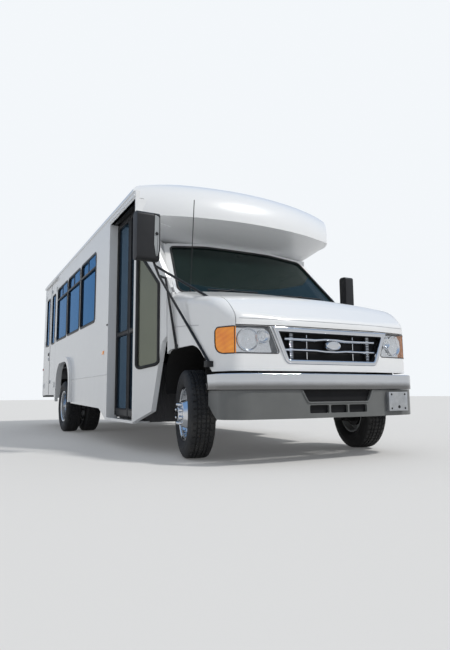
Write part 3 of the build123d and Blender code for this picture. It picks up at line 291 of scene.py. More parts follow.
white = paint("white_paint", rgb(0.80, 0.81, 0.82), rgb(0.66, 0.67, 0.68))
gelcoat = paint("white_gelcoat", rgb(0.80, 0.81, 0.82), rgb(0.70, 0.71, 0.72), 0.26)
chrome = bright_metal("chrome")
# Its lower face is darkened from 0.635 m down to 0.585 m as a painted reflection of the ground.
bumper_chrome = bright_metal("bumper_chrome", film=(0.585, 0.635))
black_plastic = moulded("black_plastic", rgb(0.013, 0.013, 0.014), rgb(0.022, 0.022, 0.024), 0.42)
black_rubber = rubber("black_rubber")
tyre_rubber = rubber("tyre_rubber", rgb(0.014, 0.014, 0.015), rgb(0.045, 0.043, 0.040))
valance_grey = moulded("valance_grey", rgb(0.115, 0.12, 0.12), rgb(0.15, 0.155, 0.155), 0.26, 500.0, 0.00003)
side_glass = tinted_glass("side_glass", rgb(0.035, 0.13, 0.29), 0.94, rgb(0.38, 0.66, 1.0), STRONG_MIRROR)
shield_glass = tinted_glass("shield_glass", rgb(0.004, 0.012, 0.009), 0.86, rgb(0.40, 0.60, 0.50), bend=1.33)
door_glass = tinted_glass("door_glass", rgb(0.07, 0.13, 0.19), 0.88, rgb(0.6, 0.8, 1.0), WEAK_MIRROR)
cab_glass = tinted_glass("cab_glass", rgb(0.010, 0.018, 0.022), 0.72)
amber = lens("amber_lens", rgb(1.0, 0.36, 0.012), rgb(0.72, 0.14, 0.004), 1.0, 16.0, 0.002, "DIAGONAL", 0.10)
red = lens("red_lens", rgb(0.50, 0.010, 0.008), rgb(0.30, 0.004, 0.004), 1.0, 20.0)
clear = lens("clear_lens", rgb(0.80, 0.84, 0.88), rgb(0.60, 0.64, 0.68), 0.13, 26.0, 0.0006)
black_frame = moulded("black_frame", rgb(0.012, 0.012, 0.013), rgb(0.02, 0.02, 0.022), 0.34, 900.0, 0.00005)
bay_black = moulded("bay_black", rgb(0.010, 0.010, 0.011), rgb(0.018, 0.017, 0.016), 0.75, 60.0, 0.0008)
screen_black = moulded("screen_black", rgb(0.006, 0.006, 0.007), rgb(0.011, 0.011, 0.012), 0.7, 240.0, 0.001)
# Grey for the lines on the front's panels; on the hood it is painted shade along a crease.
crease_line_grey = moulded("crease_line_grey", rgb(0.42, 0.43, 0.45), rgb(0.36, 0.37, 0.39), 0.4)
red_handle = moulded("red_handle", rgb(0.45, 0.02, 0.015), rgb(0.38, 0.016, 0.012), 0.4)
step_red = moulded("step_red", rgb(0.16, 0.035, 0.022), rgb(0.11, 0.028, 0.018), 0.6, 300.0, 0.0006)
sidelight_glass = tinted_glass(
    "sidelight_glass", rgb(0.26, 0.27, 0.21), 0.88, rgb(0.9, 0.95, 0.9), WEAK_MIRROR)
silver_shell = moulded("silver_shell", rgb(0.34, 0.36, 0.37), rgb(0.28, 0.30, 0.31), 0.35, 500.0)
reflector = bright_metal("reflector", rgb(0.86, 0.87, 0.88), 0.10)
clear_bulb = lens("clear_bulb", rgb(0.80, 0.82, 0.84), rgb(0.70, 0.72, 0.74), 1.0, 60.0)
under_black = chassis_paint("under_black", rgb(0.018, 0.018, 0.018))
engine_grey = chassis_paint("engine_grey", rgb(0.07, 0.07, 0.07), rgb(0.12, 0.08, 0.05), 0.5)
wheel_paint = chassis_paint("wheel_steel", rgb(0.42, 0.43, 0.43), rgb(0.20, 0.17, 0.14), 0.2)
pipe_steel = bare_steel("pipe_steel", rgb(0.36, 0.35, 0.33), rgb(0.20, 0.13, 0.08))
zinc = bare_steel("zinc", rgb(0.50, 0.51, 0.52), rgb(0.40, 0.41, 0.42))
core = bare_steel("radiator_core", rgb(0.10, 0.10, 0.10), rgb(0.06, 0.06, 0.06))
flooring = ribbed_floor("flooring", rgb(0.10, 0.10, 0.105))
cloth = woven("seat_cloth", rgb(0.035, 0.045, 0.075), rgb(0.20, 0.22, 0.28))
dash_vinyl = moulded("dash_vinyl", rgb(0.10, 0.10, 0.095), rgb(0.13, 0.13, 0.12), 0.6, 420.0, 0.0004)

NODE_FINISH = {
    white: ("entry_corner", "driver_corner", "cab_frame", "hood", "grille_panel", "fenders", "driver_door",
            "side_wall_left", "side_wall_right", "wheel_flares", "lift_door_front", "lift_door_rear"),
    black_frame: ("entry_door_front", "entry_door_rear"),
    gelcoat: ("front_cap", "roof", "rear_cap"),
    chrome: ("grille", "front_bumper"),
    valance_grey: ("front_valance",),
    zinc: ("plate_bracket",),
    black_plastic: ("mirror_right", "mirror_left", "wipers", "antenna"),
    black_rubber: ("rear_bumper",),
    side_glass: ("windows", "lift_glass_front", "lift_glass_rear"),
    door_glass: ("entry_glass_front", "entry_glass_rear"),
    cab_glass: ("driver_door_glass",),
    shield_glass: ("windshield",),
    amber: ("corner_lamps", "marker_lamps"),
    red: ("tail_lamps",),
    clear: ("headlamps",),
    tyre_rubber: ("tyre_front_left", "tyre_front_right", "tyres_rear_left", "tyres_rear_right"),
    wheel_paint: ("rim_front_left", "rim_front_right", "rims_rear_left", "rims_rear_right"),
    under_black: ("chassis_frame", "front_axle", "rear_axle", "knuckle_left", "knuckle_right", "fuel_tank"),
    engine_grey: ("engine",),
    pipe_steel: ("exhaust",),
    core: ("radiator",),
    flooring: ("floor",),
    dash_vinyl: ("dashboard",),
    cloth: ("seats",),
}
for finish, names in NODE_FINISH.items():
    for name in names:
        nodes[name].data.materials.clear()
        nodes[name].data.materials.append(finish)


# Modelling: sizes are in millimetres, and y runs back from the bumper's face, as on a drawing

def at(x, y, z):
    """A place in the scene."""
    return Vector((x / 1000, y / 1000 + FRONT, z / 1000))


def drawn(place):
    """A place on the drawing."""
    return Vector((place[0] * 1000, (place[1] - FRONT) * 1000, place[2] * 1000))


def alone(piece):
    """Select one piece and make it active."""
    bpy.ops.object.select_all(action="DESELECT")
    piece.select_set(True)
    bpy.context.view_layer.objects.active = piece


def begin(name, kind, **settings):
    """A new primitive whose place is in its mesh."""
    bpy.ops.object.select_all(action="DESELECT")
    getattr(bpy.ops.mesh, "primitive_" + kind + "_add")(**settings)
    piece = bpy.context.object
    piece.name = name
    bpy.ops.object.transform_apply(location=True, rotation=True, scale=True)
    return piece


def choose(piece, kind, test=None):
    """Open edit mode, and select all, or what passes the test of its middle and direction."""
    alone(piece)
    bpy.ops.object.mode_set(mode="EDIT")
    bpy.ops.mesh.select_mode(type=kind)
    bpy.ops.mesh.select_all(action="DESELECT" if test else "SELECT")
    if not test:
        return
    shape = bmesh.from_edit_mesh(piece.data)
    if kind == "FACE":
        known = [(face, face.calc_center_median(), face.normal) for face in shape.faces]
    elif kind == "EDGE":
        known = [(edge, (edge.verts[0].co + edge.verts[1].co) / 2,
                  (edge.verts[1].co - edge.verts[0].co).normalized()) for edge in shape.edges]
    else:
        known = [(corner, corner.co, corner.normal) for corner in shape.verts]
    for item, place, way in known:
        if test(drawn(place), way):
            item.select_set(True)
    bmesh.update_edit_mesh(piece.data)


def leave():
    """Close edit mode."""
    bpy.ops.object.mode_set(mode="OBJECT")


def modify(piece, kind, **settings):
    """Add a modifier and apply it."""
    alone(piece)
    modifier = piece.modifiers.new("shape", kind)
    for key, value in settings.items():
        setattr(modifier, key, value)
    bpy.ops.object.modifier_apply(modifier=modifier.name)
    return piece


def soften(piece, width, segments=2, angle=35):
    """Round the hard edges."""
    return modify(piece, "BEVEL", width=width / 1000, segments=segments, limit_method="ANGLE",
                  angle_limit=math.radians(angle), use_clamp_overlap=True)


def rounded_box(name, low, high, radius, segments=3):
    """A box between two corners, all its edges rounded."""
    first, last = at(*low), at(*high)
    middle = (first + last) / 2
    size = last - first
    piece = begin(name, "cube", size=1, location=middle)
    choose(piece, "FACE")
    bpy.ops.transform.resize(value=tuple(size), center_override=tuple(middle))
    bpy.ops.mesh.bevel(offset=radius / 1000, segments=segments, affect="EDGES")
    leave()
    return piece


def plate(name, corners, radius=0, segments=5):
    """A flat face through corners, rounded at each."""
    piece = begin(name, "circle", vertices=len(corners), radius=1, fill_type="NGON")
    for vertex, corner in zip(piece.data.vertices, corners):
        vertex.co = at(*corner)
    if radius:
        choose(piece, "VERT")
        bpy.ops.mesh.bevel(offset=radius / 1000, segments=segments, affect="VERTICES")
        leave()
    return piece


def facing_side(x, y_low, y_high, z_low, z_high):
    """The corners of an upright rectangle that faces sideways."""
    return [(x, y_low, z_low), (x, y_high, z_low), (x, y_high, z_high), (x, y_low, z_high)]


def thicken(piece, push, band=0):
    """Push a plate out to a slab; a band keeps only its rim."""
    choose(piece, "FACE")
    if band:
        bpy.ops.mesh.inset(thickness=band / 1000)
        bpy.ops.mesh.delete(type="FACE")
        bpy.ops.mesh.select_all(action="SELECT")
    bpy.ops.mesh.extrude_region_move(TRANSFORM_OT_translate={"value": tuple(v / 1000 for v in push)})
    bpy.ops.mesh.select_all(action="SELECT")
    bpy.ops.mesh.normals_make_consistent(inside=False)
    leave()
    return piece


def slab(name, corners, push, radius=0, segments=5, band=0):
    """A plate pushed out at once."""
    return thicken(plate(name, corners, radius, segments), push, band)


def spun(name, centre, axis, rings, count=64):
    """A shell about an axle: rings of (radius, distance along), each drawn out of the last."""
    way = Vector(axis).normalized()
    turn = way.to_track_quat("Z", "Y").to_euler()
    middle = at(*centre)
    radius, along = rings[0]
    piece = begin(name, "circle", vertices=count, radius=radius / 1000, fill_type="NOTHING",
                  location=middle + way * along / 1000, rotation=turn)
    choose(piece, "EDGE")
    for next_radius, next_along in rings[1:]:
        bpy.ops.mesh.extrude_edges_move(
            TRANSFORM_OT_translate={"value": tuple(way * (next_along - along) / 1000)})
        if next_radius == 0:
            bpy.ops.mesh.merge(type="CENTER")
            break
        scale = next_radius / radius
        if scale != 1:
            bpy.ops.transform.resize(value=(scale, scale, scale),
                                     center_override=tuple(middle + way * next_along / 1000))
        radius, along = next_radius, next_along
    bpy.ops.mesh.select_all(action="SELECT")
    bpy.ops.mesh.remove_doubles(threshold=0.00002)
    bpy.ops.mesh.normals_make_consistent(inside=False)
    leave()
    return piece


def rounded_path(rows, steps=6, closed=True):
    """Points round rows of (across, up, corner radius), each corner a smooth curve."""
    points = []
    count = len(rows)
    for i, (across, up, radius) in enumerate(rows):
        corner = Vector((across, up))
        if radius == 0 or (not closed and i in (0, count - 1)):
            points.append(corner)
            continue
        before = Vector(rows[i - 1][:2]) - corner
        after = Vector(rows[(i + 1) % count][:2]) - corner
        reach = min(radius / math.tan(before.angle(after) / 2), before.length * 0.5, after.length * 0.5)
        start = corner + before.normalized() * reach
        end = corner + after.normalized() * reach
        for k in range(steps + 1):
            t = k / steps
            points.append(start * (1 - t) ** 2 + corner * 2 * t * (1 - t) + end * t * t)
    return points


def line_curve(name, points, closed=False):
    """A curve that runs straight from point to point."""
    curve = bpy.data.curves.new(name, "CURVE")
    curve.dimensions = "3D"
    curve.use_fill_caps = True
    spline = curve.splines.new("POLY")
    spline.points.add(len(points) - 1)
    for target, place in zip(spline.points, points):
        target.co = (*at(*place), 1)
    spline.use_cyclic_u = closed
    return curve


def linked(name, data):
    """A new object in the scene."""
    made = bpy.data.objects.new(name, data)
    bpy.context.scene.collection.objects.link(made)
    return made


def curve_piece(name, curve):
    """The mesh that a curve makes."""
    alone(linked(name, curve))
    bpy.ops.object.convert(target="MESH")
    return bpy.context.object


def bar(name, points, radius, closed=False):
    """A round bar through points."""
    curve = line_curve(name, points, closed)
    curve.bevel_depth = radius / 1000
    curve.bevel_resolution = 3
    return curve_piece(name, curve)


def swept(name, points, section):
    """A bar of any section, in (across, up), drawn along points."""
    shape = bpy.data.curves.new(name + "_section", "CURVE")
    shape.dimensions = "2D"
    outline = shape.splines.new("POLY")
    outline.points.add(len(section) - 1)
    for target, (across, up) in zip(outline.points, section):
        target.co = (across / 1000, up / 1000, 0, 1)
    outline.use_cyclic_u = True
    section_object = linked(name + "_section", shape)
    curve = line_curve(name, points)
    curve.twist_mode = "Z_UP"
    curve.bevel_mode = "OBJECT"
    curve.bevel_object = section_object
    piece = curve_piece(name, curve)
    bpy.data.objects.remove(section_object)
    choose(piece, "FACE")
    bpy.ops.mesh.remove_doubles(threshold=0.00001)
    bpy.ops.mesh.normals_make_consistent(inside=False)
    leave()
    return piece


def skin_of(*names):
    """The surfaces of CAD nodes, for lines to be laid on."""
    trees = []
    for name in names:
        mesh = nodes[name].data
        corners = [vertex.co for vertex in mesh.vertices]
        trees.append(BVHTree.FromPolygons(corners, [face.vertices for face in mesh.polygons]))
    return trees


def laid(points, way, trees, spacing=25, closed=False):
    """Points spread along a line and dropped along a direction on to the nearest surface."""
    way = Vector(way).normalized()
    if closed:
        points = points + [points[0]]
    spread = [Vector(points[0])]
    for place in points[1:]:
        place = Vector(place)
        steps = max(1, math.ceil((place - spread[-1]).length / spacing))
        start = spread[-1]
        spread.extend(start + (place - start) * (k + 1) / steps for k in range(steps))
    if closed:
        spread.pop()
    found = []
    for place in spread:
        hits = [tree.ray_cast(at(*place), way) for tree in trees]
        hits = [hit for hit in hits if hit[0] is not None]
        if hits:
            nearest = min(hits, key=lambda hit: hit[3])
            found.append(drawn(nearest[0]))
    return found


def another(piece, name, change):
    """A copy with its own mesh, changed by a matrix."""
    copy = piece.copy()
    copy.data = piece.data.copy()
    copy.name = name
    bpy.context.scene.collection.objects.link(copy)
    copy.data.transform(change)
    if change.determinant() < 0:
        copy.data.flip_normals()
    return copy


def joined(name, pieces):
    """Several pieces as one, each keeping its finish."""
    bpy.ops.object.select_all(action="DESELECT")
    for piece in pieces:
        piece.select_set(True)
    bpy.context.view_layer.objects.active = pieces[0]
    bpy.ops.object.join()
    pieces[0].name = name
    return pieces[0]


def finished(piece, material, angle=35):
    """Give a piece its finish, with soft shading up to an angle."""
    piece.data.materials.clear()
    piece.data.materials.append(material)
    alone(piece)
    bpy.ops.object.shade_smooth_by_angle(angle=math.radians(angle))
    return piece


def fit(piece, body, slot, *stands_for):
    """Fix a piece to a body, and hide the CAD nodes it stands for."""
    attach(piece, body)
    if stands_for:
        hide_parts(*stands_for)
    return piece


def refined(node, width, segments, material, slot, body, angle=35):
    """A CAD solid with its edges rounded, in its place."""
    piece = nodes[node].copy()
    piece.data = nodes[node].data.copy()
    piece.name = node + "_rounded"
    piece.parent = None
    bpy.context.scene.collection.objects.link(piece)
    for key in [key for key in piece.keys() if key.startswith("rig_")]:
        del piece[key]
    choose(piece, "FACE")
    bpy.ops.mesh.remove_doubles(threshold=0.00001)
    bpy.ops.mesh.dissolve_limited(angle_limit=math.radians(1.5))
    leave()
    soften(piece, width, segments, angle)
    finished(piece, material)
    return fit(piece, body, slot, node)


MIRROR = Matrix.Diagonal((-1, 1, 1, 1))
SIDES = ((1, "left"), (-1, "right"))


# Wheels

FRONT_AXLE_Y = 820
REAR_AXLE_Y = 4833
WHEEL_Z = 368
KINGPIN_X = 770
FRONT_WHEEL_X = 882
REAR_OUTER_X = 1125
REAR_INNER_X = 850
STEERED_DEGREES = 12.5
SIPE_MARGIN = 5.5
SIPE_DEPTH = 6
LINER_WALL = 2.5
HAND_HOLES = 8
HAND_HOLE_CIRCLE = 168
HAND_HOLE_RADIUS = 21
AXLE = (1, 0, 0)

# The tyre's outer half and the two liners, as (radius, distance out along the axle)
TYRE_RINGS = [
    (219, 74), (224, 84), (240, 97), (262, 106), (284, 110), (288, 112), (292, 110), (314, 110), (334, 105),
    (346, 99), (357, 92), (364, 82), (366, 70), (367, 56), (359, 54), (359, 46), (367, 44), (368, 26),
    (360, 24), (360, 16), (368, 14)]
FRONT_LINER = [
    (217, 76), (223, 82), (226, 88), (222, 93), (214, 92), (206, 84), (202, 62), (196, 42), (186, 35),
    (150, 46), (134, 56), (122, 72), (112, 98), (106, 112), (98, 116), (66, 117), (62, 120), (60, 142),
    (52, 148), (28, 150), (0, 150)]
REAR_LINER = [
    (217, 76), (223, 82), (226, 88), (222, 93), (214, 92), (206, 84), (202, 40), (198, -10), (190, -38),
    (176, -46), (140, -50), (112, -48), (78, -46), (75, -40), (75, 16), (70, 27), (58, 32), (20, 34), (0, 34)]


def tyre(name):
    """A highway tyre about the x axle: ribs, grooves and shoulder sipes."""
    rings = TYRE_RINGS + [(radius, -along) for radius, along in reversed(TYRE_RINGS)]
    piece = spun(name, (0, 0, 0), AXLE, rings, 120)

    def shoulder(place, way):
        spot = Vector((0, place.y, place.z))
        turn = math.degrees(math.atan2(place.z, place.y)) % 9
        return spot.length > 361 and 55 < abs(place.x) < 84 and turn < 3

    def rib(place, way):
        spot = Vector((0, place.y, place.z))
        turn = (math.degrees(math.atan2(place.z, place.y)) + 4) % 6
        return spot.length > 364 and abs(place.x) < 43 and turn < 3

    for test in (shoulder, rib):
        choose(piece, "FACE", test)
        bpy.ops.mesh.inset(thickness=SIPE_MARGIN / 1000, use_individual=True)
        bpy.ops.transform.shrink_fatten(value=-SIPE_DEPTH / 1000)
        leave()
    return finished(piece, tyre_rubber, 30)


def capped_nut(middle, base):
    """A wheel nut on its flange."""
    flange = spun("nut_flange", middle, AXLE, [(17, base - 2), (17, base + 4), (14, base + 7)], 24)
    nut = spun("nut", middle, AXLE, [
        (14, base + 2), (14, base + 26), (11, base + 31), (6, base + 35), (0, base + 36)], 6)
    soften(nut, 1.2, 2)
    return [finished(flange, chrome), finished(nut, chrome)]


def liner(name, rings, nut_radius, nut_base, nut_count):
    """A chrome wheel liner with round hand holes, hub cover and capped nuts."""
    shell = spun(name, (0, 0, 0), AXLE, rings, 96)
    modify(shell, "SOLIDIFY", thickness=LINER_WALL / 1000, offset=-1)
    cutter = None
    for i in range(HAND_HOLES):
        angle = math.radians(360 / HAND_HOLES * i)
        middle = at(0, HAND_HOLE_CIRCLE * math.sin(angle), HAND_HOLE_CIRCLE * math.cos(angle))
        hole = begin("hole", "cylinder", vertices=32, radius=HAND_HOLE_RADIUS / 1000, depth=0.3,
                     location=middle, rotation=(0, math.pi / 2, 0))
        cutter = joined("holes", [cutter, hole]) if cutter else hole
    modify(shell, "BOOLEAN", object=cutter, operation="DIFFERENCE", solver="EXACT")
    bpy.data.objects.remove(cutter)
    pieces = [finished(shell, chrome, 30)]
    for i in range(nut_count):
        angle = math.radians(360 * (i + 0.5) / nut_count)
        pieces += capped_nut((0, nut_radius * math.sin(angle), nut_radius * math.cos(angle)), nut_base)
    return joined(name, pieces)


def wheels():
    """All tyres and liners, each set on its wheel's axle."""
    to_hub = Matrix.Translation(-at(0, 0, 0))
    rubber_ring = tyre("tyre_model")
    front_bright = liner("front_liner", FRONT_LINER, 83, 116, 8)
    rear_bright = liner("rear_liner", REAR_LINER, 96, -47, 8)
    for side, word in SIDES:
        turned = Matrix.Identity(4) if side > 0 else MIRROR
        pin = at(side * KINGPIN_X, FRONT_AXLE_Y, 0)
        swing = Matrix.Rotation(math.radians(-STEERED_DEGREES), 4, "Z")
        steer = Matrix.Translation(pin) @ swing @ Matrix.Translation(-pin)
        front = steer @ Matrix.Translation(at(side * FRONT_WHEEL_X, FRONT_AXLE_Y, WHEEL_Z)) @ turned @ to_hub
        outer = Matrix.Translation(at(side * REAR_OUTER_X, REAR_AXLE_Y, WHEEL_Z)) @ turned @ to_hub
        inner = Matrix.Translation(at(side * REAR_INNER_X, REAR_AXLE_Y, WHEEL_Z)) @ turned @ to_hub
        fit(another(rubber_ring, "tread_tyre_front_" + word, front), "wheel_front_" + word,
            "tyre_rubber", "tyre_front_" + word)
        fit(another(front_bright, "liner_front_" + word, front), "wheel_front_" + word, "bright")
        fit(another(rubber_ring, "tread_tyre_outer_" + word, outer), "wheels_rear_" + word,
            "tyre_rubber", "tyres_rear_" + word)
        fit(another(rubber_ring, "tread_tyre_inner_" + word, inner), "wheels_rear_" + word, "tyre_rubber")
        fit(another(rear_bright, "liner_rear_" + word, outer), "wheels_rear_" + word, "bright")
    for model in (rubber_ring, front_bright, rear_bright):
        bpy.data.objects.remove(model)


# Windows of the body

WALL_X = 1219
WINDOW_LOW = 1400
WINDOW_HIGH = 2290
SASH_Z = 2085
ROW_START = 2991
WINDOW_PITCH = (5745 - ROW_START) / 3.1
CORNER_Y = 1483
CORNER_LENGTH = 333
CORNER_INSET = 197
REAR_FACE_Y = 7022


def side_window(name, middle, width):
    """A framed window on the right side: lower pane, and two sliding panes above."""
    low, high = middle - width / 2, middle + width / 2
    x = -WALL_X
    rim = slab("rim", facing_side(x - 5, low, high, WINDOW_LOW, WINDOW_HIGH), (38, 0, 0), 70, 6, 26)
    rail = rounded_box("sash_rail", (x - 4, low + 20, SASH_Z), (x + 26, high - 20, SASH_Z + 24), 5)
    pieces = [finished(soften(rim, 3, 2), black_frame), finished(rail, black_frame)]
    for y, out in ((low + 26, 0), (middle - 8, 0), (middle - 2, 10), (high - 42, 10)):
        stile = rounded_box("stile", (x + out, y, SASH_Z + 18), (x + out + 12, y + 16, WINDOW_HIGH - 20), 3)
        pieces.append(finished(stile, black_frame))
    for y, out in ((low + 30, -2), (middle + 16, 8)):
        catch = rounded_box("catch", (x + out - 3, y, SASH_Z + 90), (x + out + 8, y + 10, SASH_Z + 130), 2)
        pieces.append(finished(catch, black_plastic))
    bead = bar("bead", [(x - 3, y, z) for y, z in rounded_path([
        (low + 30, WINDOW_LOW + 30, 40), (high - 30, WINDOW_LOW + 30, 40),
        (high - 30, SASH_Z - 4, 12), (low + 30, SASH_Z - 4, 12)])], 4, closed=True)
    pieces.append(finished(bead, black_rubber))
    for depth, y_low, y_high, z_low, z_high in (
            (14, low + 20, high - 20, WINDOW_LOW + 20, SASH_Z + 6),
            (6, low + 30, middle + 2, SASH_Z + 16, WINDOW_HIGH - 18),
            (17, middle - 2, high - 30, SASH_Z + 16, WINDOW_HIGH - 18)):
        pane = slab("pane", facing_side(x + depth, y_low, y_high, z_low, z_high), (5, 0, 0))
        pieces.append(finished(pane, side_glass))
    return joined(name, pieces)


def body_windows():
    """Three windows on the right side, and four on the left as their mirror image."""
    first = side_window("window_model", ROW_START + WINDOW_PITCH / 2, WINDOW_PITCH - 38)
    for i in range(4):
        shift = Matrix.Translation((0, WINDOW_PITCH * i / 1000, 0))
        if i < 3:
            right = another(first, "window_right_%d" % (i + 1), shift)
            fit(right, "chassis", "window_glass", "windows")
        fit(another(first, "window_left_%d" % (i + 1), MIRROR @ shift), "chassis", "window_glass")
    bpy.data.objects.remove(first)


def on_corner(y, z, inward):
    """A place on the slanted panel between the wall and the cab."""
    return (-WALL_X + (CORNER_Y - y) / CORNER_LENGTH * CORNER_INSET + inward, y, z)


def sidelight():
    """The tall fixed pane ahead of the entry, its rubber, and the panel above it."""
    rows = [(1224, 806, 45), (1450, 768, 45), (1450, 1905, 12), (1224, 1548, 45)]
    pane = slab("sidelight_pane", [on_corner(y, z, 10) for y, z, _ in rows], (6, 3, 0))
    fit(finished(pane, sidelight_glass), "chassis", "window_glass")
    above = [(1216, 1528), (1216, 1668), (1392, 2004), (1462, 2004), (1462, 1916)]
    fill = slab("sidelight_fill", [on_corner(y, z, -1.2) for y, z in above], (5, 3, 0))
    fit(finished(fill, white), "chassis", "body_white")
    line = [on_corner(y, z, -1) for y, z in rounded_path(rows)]
    fit(finished(bar("sidelight_gasket", line, 15, closed=True), black_rubber), "chassis", "trim_black")


def escape_window():
    """The rear window with its red handle."""
    y = REAR_FACE_Y
    rows = [(-500, 1450, 70), (500, 1450, 70), (500, 2200, 70), (-500, 2200, 70)]
    pane = slab("escape_pane", [(x, y - 14, z) for x, z, _ in rows], (0, 6, 0), 60)
    rim = slab("escape_rim", [(x, y - 20, z) for x, z, _ in rows], (0, 30, 0), 70, 6, 34)
    soften(rim, 4, 2)
    gasket = bar("escape_gasket", [(x, y, z) for x, z in rounded_path(rows)], 13, closed=True)
    grip = [(-120, y + 4, 1500), (-110, y + 40, 1500), (110, y + 40, 1500), (120, y + 4, 1500)]
    window = joined("escape_window", [
        finished(pane, side_glass), finished(rim, black_frame), finished(gasket, black_rubber),
        finished(bar("escape_handle", grip, 8), red_handle)])
    fit(window, "chassis", "window_glass")


# Windshield

SHIELD_RAKE = math.radians(47)
SHIELD_Y = 1062
SHIELD_LOW = 1459
SHIELD_HIGH = 2035
SHIELD_HALF = 990
SHIELD_BOW = 52
PILLAR_BOW = 38 / math.sin(SHIELD_RAKE)


def shield_y(x, z, bow):
    """How far back the windshield's face is: it leans by its rake, and bows back towards its sides."""
    return SHIELD_Y + (z - SHIELD_LOW) / math.tan(SHIELD_RAKE) + bow * (x / SHIELD_HALF) ** 2


def shield_trim():
    """Rubber round the windshield, and the mirror behind it."""
    glass = skin_of("windshield", "cab_frame")
    rows = [(922, SHIELD_LOW, 60), (800, SHIELD_HIGH, 60), (400, 2085, 900),
            (-400, 2085, 900), (-800, SHIELD_HIGH, 60), (-922, SHIELD_LOW, 60)]
    line = laid([(x, 800, z) for x, z in rounded_path(rows, 8)], (0, 1, 0), glass, 20, True)
    fit(finished(bar("shield_gasket", line, 11, closed=True), black_rubber), "chassis", "trim_black")
    foot = rounded_box("mirror_base", (-30, 1595, 2000), (30, 1625, 2030), 6)
    head = rounded_box("inner_mirror", (-130, 1630, 1945), (130, 1650, 2005), 9)
    inside = joined("inside_mirror", [finished(foot, black_plastic), finished(head, black_plastic)])
    fit(inside, "chassis", "mirror_black")


# Entry and lift doors

ENTRY_X = -1124
ENTRY_LOW = 1500
ENTRY_HIGH = 2408
LIFT_LOW = 5700
LIFT_HIGH = 6780
LEAF_GAP = 6


def entry_leaf(word, low, high):
    """Rubber round a leaf's panes and along its edges, and its pull."""
    pieces = []
    for z_low, z_high in ((386, 1160), (1200, 2380)):
        ring = facing_side(ENTRY_X - 4, low + 26, high - 26, z_low - 12, z_high + 12)
        pieces.append(finished(soften(slab("ring", ring, (9, 0, 0), 34, 5, 15), 2.5, 2), black_rubber))
    edge_y, pull_y = (high, high - 22) if word == "front" else (low, low + 22)
    seal = rounded_box("seal", (ENTRY_X - 3, edge_y - 6, 318), (ENTRY_X + 38, edge_y + 5, 2430), 4)
    brush = rounded_box("brush", (ENTRY_X + 12, low + 4, 296), (ENTRY_X + 26, high - 4, 322), 3)
    grip = bar("grip", [(ENTRY_X + 40, pull_y, 1000), (ENTRY_X + 75, pull_y, 1010),
                        (ENTRY_X + 75, pull_y, 1330), (ENTRY_X + 40, pull_y, 1340)], 9)
    pieces += [finished(seal, black_rubber), finished(brush, black_rubber), finished(grip, black_plastic)]
    fit(joined("entry_trim_" + word, pieces), "entry_leaf_" + word, "trim_black")


def entry_trim():
    """Both leaves' trim, step edges, rear jamb, sill, header and bolts."""
    middle = (ENTRY_LOW + ENTRY_HIGH) / 2
    entry_leaf("front", ENTRY_LOW + LEAF_GAP, middle - LEAF_GAP)
    entry_leaf("rear", middle + LEAF_GAP, ENTRY_HIGH - LEAF_GAP)
    edge = rounded_box("step_edge", (-1079, 1542, 300), (-1062, 2366, 322), 4)
    second = rounded_box("second_step_edge", (-892, 1542, 548), (-872, 2366, 566), 4)
    fit(joined("step_edges", [finished(edge, step_red), finished(second, step_red)]), "chassis", "trim_black")
    jamb = rounded_box("entry_jamb", (-1214, 2409, 268), (-1092, 2417, 900), 2)
    sill = rounded_box("entry_sill", (-1215, 1510, 267), (-1040, 2410, 284), 4)
    fit(joined("entry_jamb", [finished(jamb, white), finished(sill, white)]), "chassis", "body_white")
    header = rounded_box("entry_header", (-1215, 1502, 2440), (-1080, 2406, 2452), 3)
    fit(finished(header, black_frame), "chassis", "trim_black")
    bolts = []
    for y in (2424, 2446):
        bolt = spun("bolt", (-WALL_X, y, 1300), (-1, 0, 0), [(9, -1), (9, 4), (6, 9), (0, 10)], 20)
        bolts.append(finished(bolt, black_plastic))
    fit(joined("door_bolts", bolts), "chassis", "trim_black")


def lift_leaf(word, low, high, lock_shift, lock_heights):
    """A lift leaf's window frame, edge seal and lock discs."""
    out = -WALL_X
    centre = (low + high) / 2
    ring = slab("ring", facing_side(out - 6, centre - 158, centre + 158, 1392, 2258), (12, 0, 0), 56, 6, 24)
    pieces = [finished(soften(ring, 3, 2), black_frame)]
    edge_y = high if word == "front" else low
    seal = rounded_box("seal", (out - 2, edge_y - 5, 540), (out + 30, edge_y + 4, 2455), 4)
    pieces.append(finished(seal, black_rubber))
    for z in lock_heights:
        disc = spun("lock", (out, centre + lock_shift, z), (-1, 0, 0), [
            (30, -2), (30, 4), (26, 8), (12, 9), (11, 5), (0, 5)], 32)
        pieces.append(finished(disc, zinc))
    if word == "rear":
        dish = slab("dish", facing_side(out - 3, low + 40, low + 150, 1200, 1290), (6, 0, 0), 18, band=14)
        paddle = rounded_box("paddle", (out - 12, low + 58, 1218), (out - 1, low + 132, 1268), 5)
        pieces += [finished(soften(dish, 2, 2), chrome), finished(paddle, black_plastic)]
    fit(joined("lift_trim_" + word, pieces), "lift_leaf_" + word, "trim_black")


def lift_trim():
    """Both lift leaves' trim and the header box above them."""
    middle = (LIFT_LOW + LIFT_HIGH) / 2
    lift_leaf("front", LIFT_LOW + LEAF_GAP, middle - LEAF_GAP, 170, (760, 2330))
    lift_leaf("rear", middle + LEAF_GAP, LIFT_HIGH - LEAF_GAP, -170, (1160,))
    header = rounded_box("lift_header", (-1256, 5680, 2474), (-WALL_X, 6800, 2512), 9)
    fit(finished(header, white), "chassis", "body_white")


# Front of the cab

BOWL_RADIUS = 84
FORWARD = (0, -1, 0)
POST_X = 388
RIB_COUNT = 16
RIB_PITCH = 14
BUMPER_Z = 619


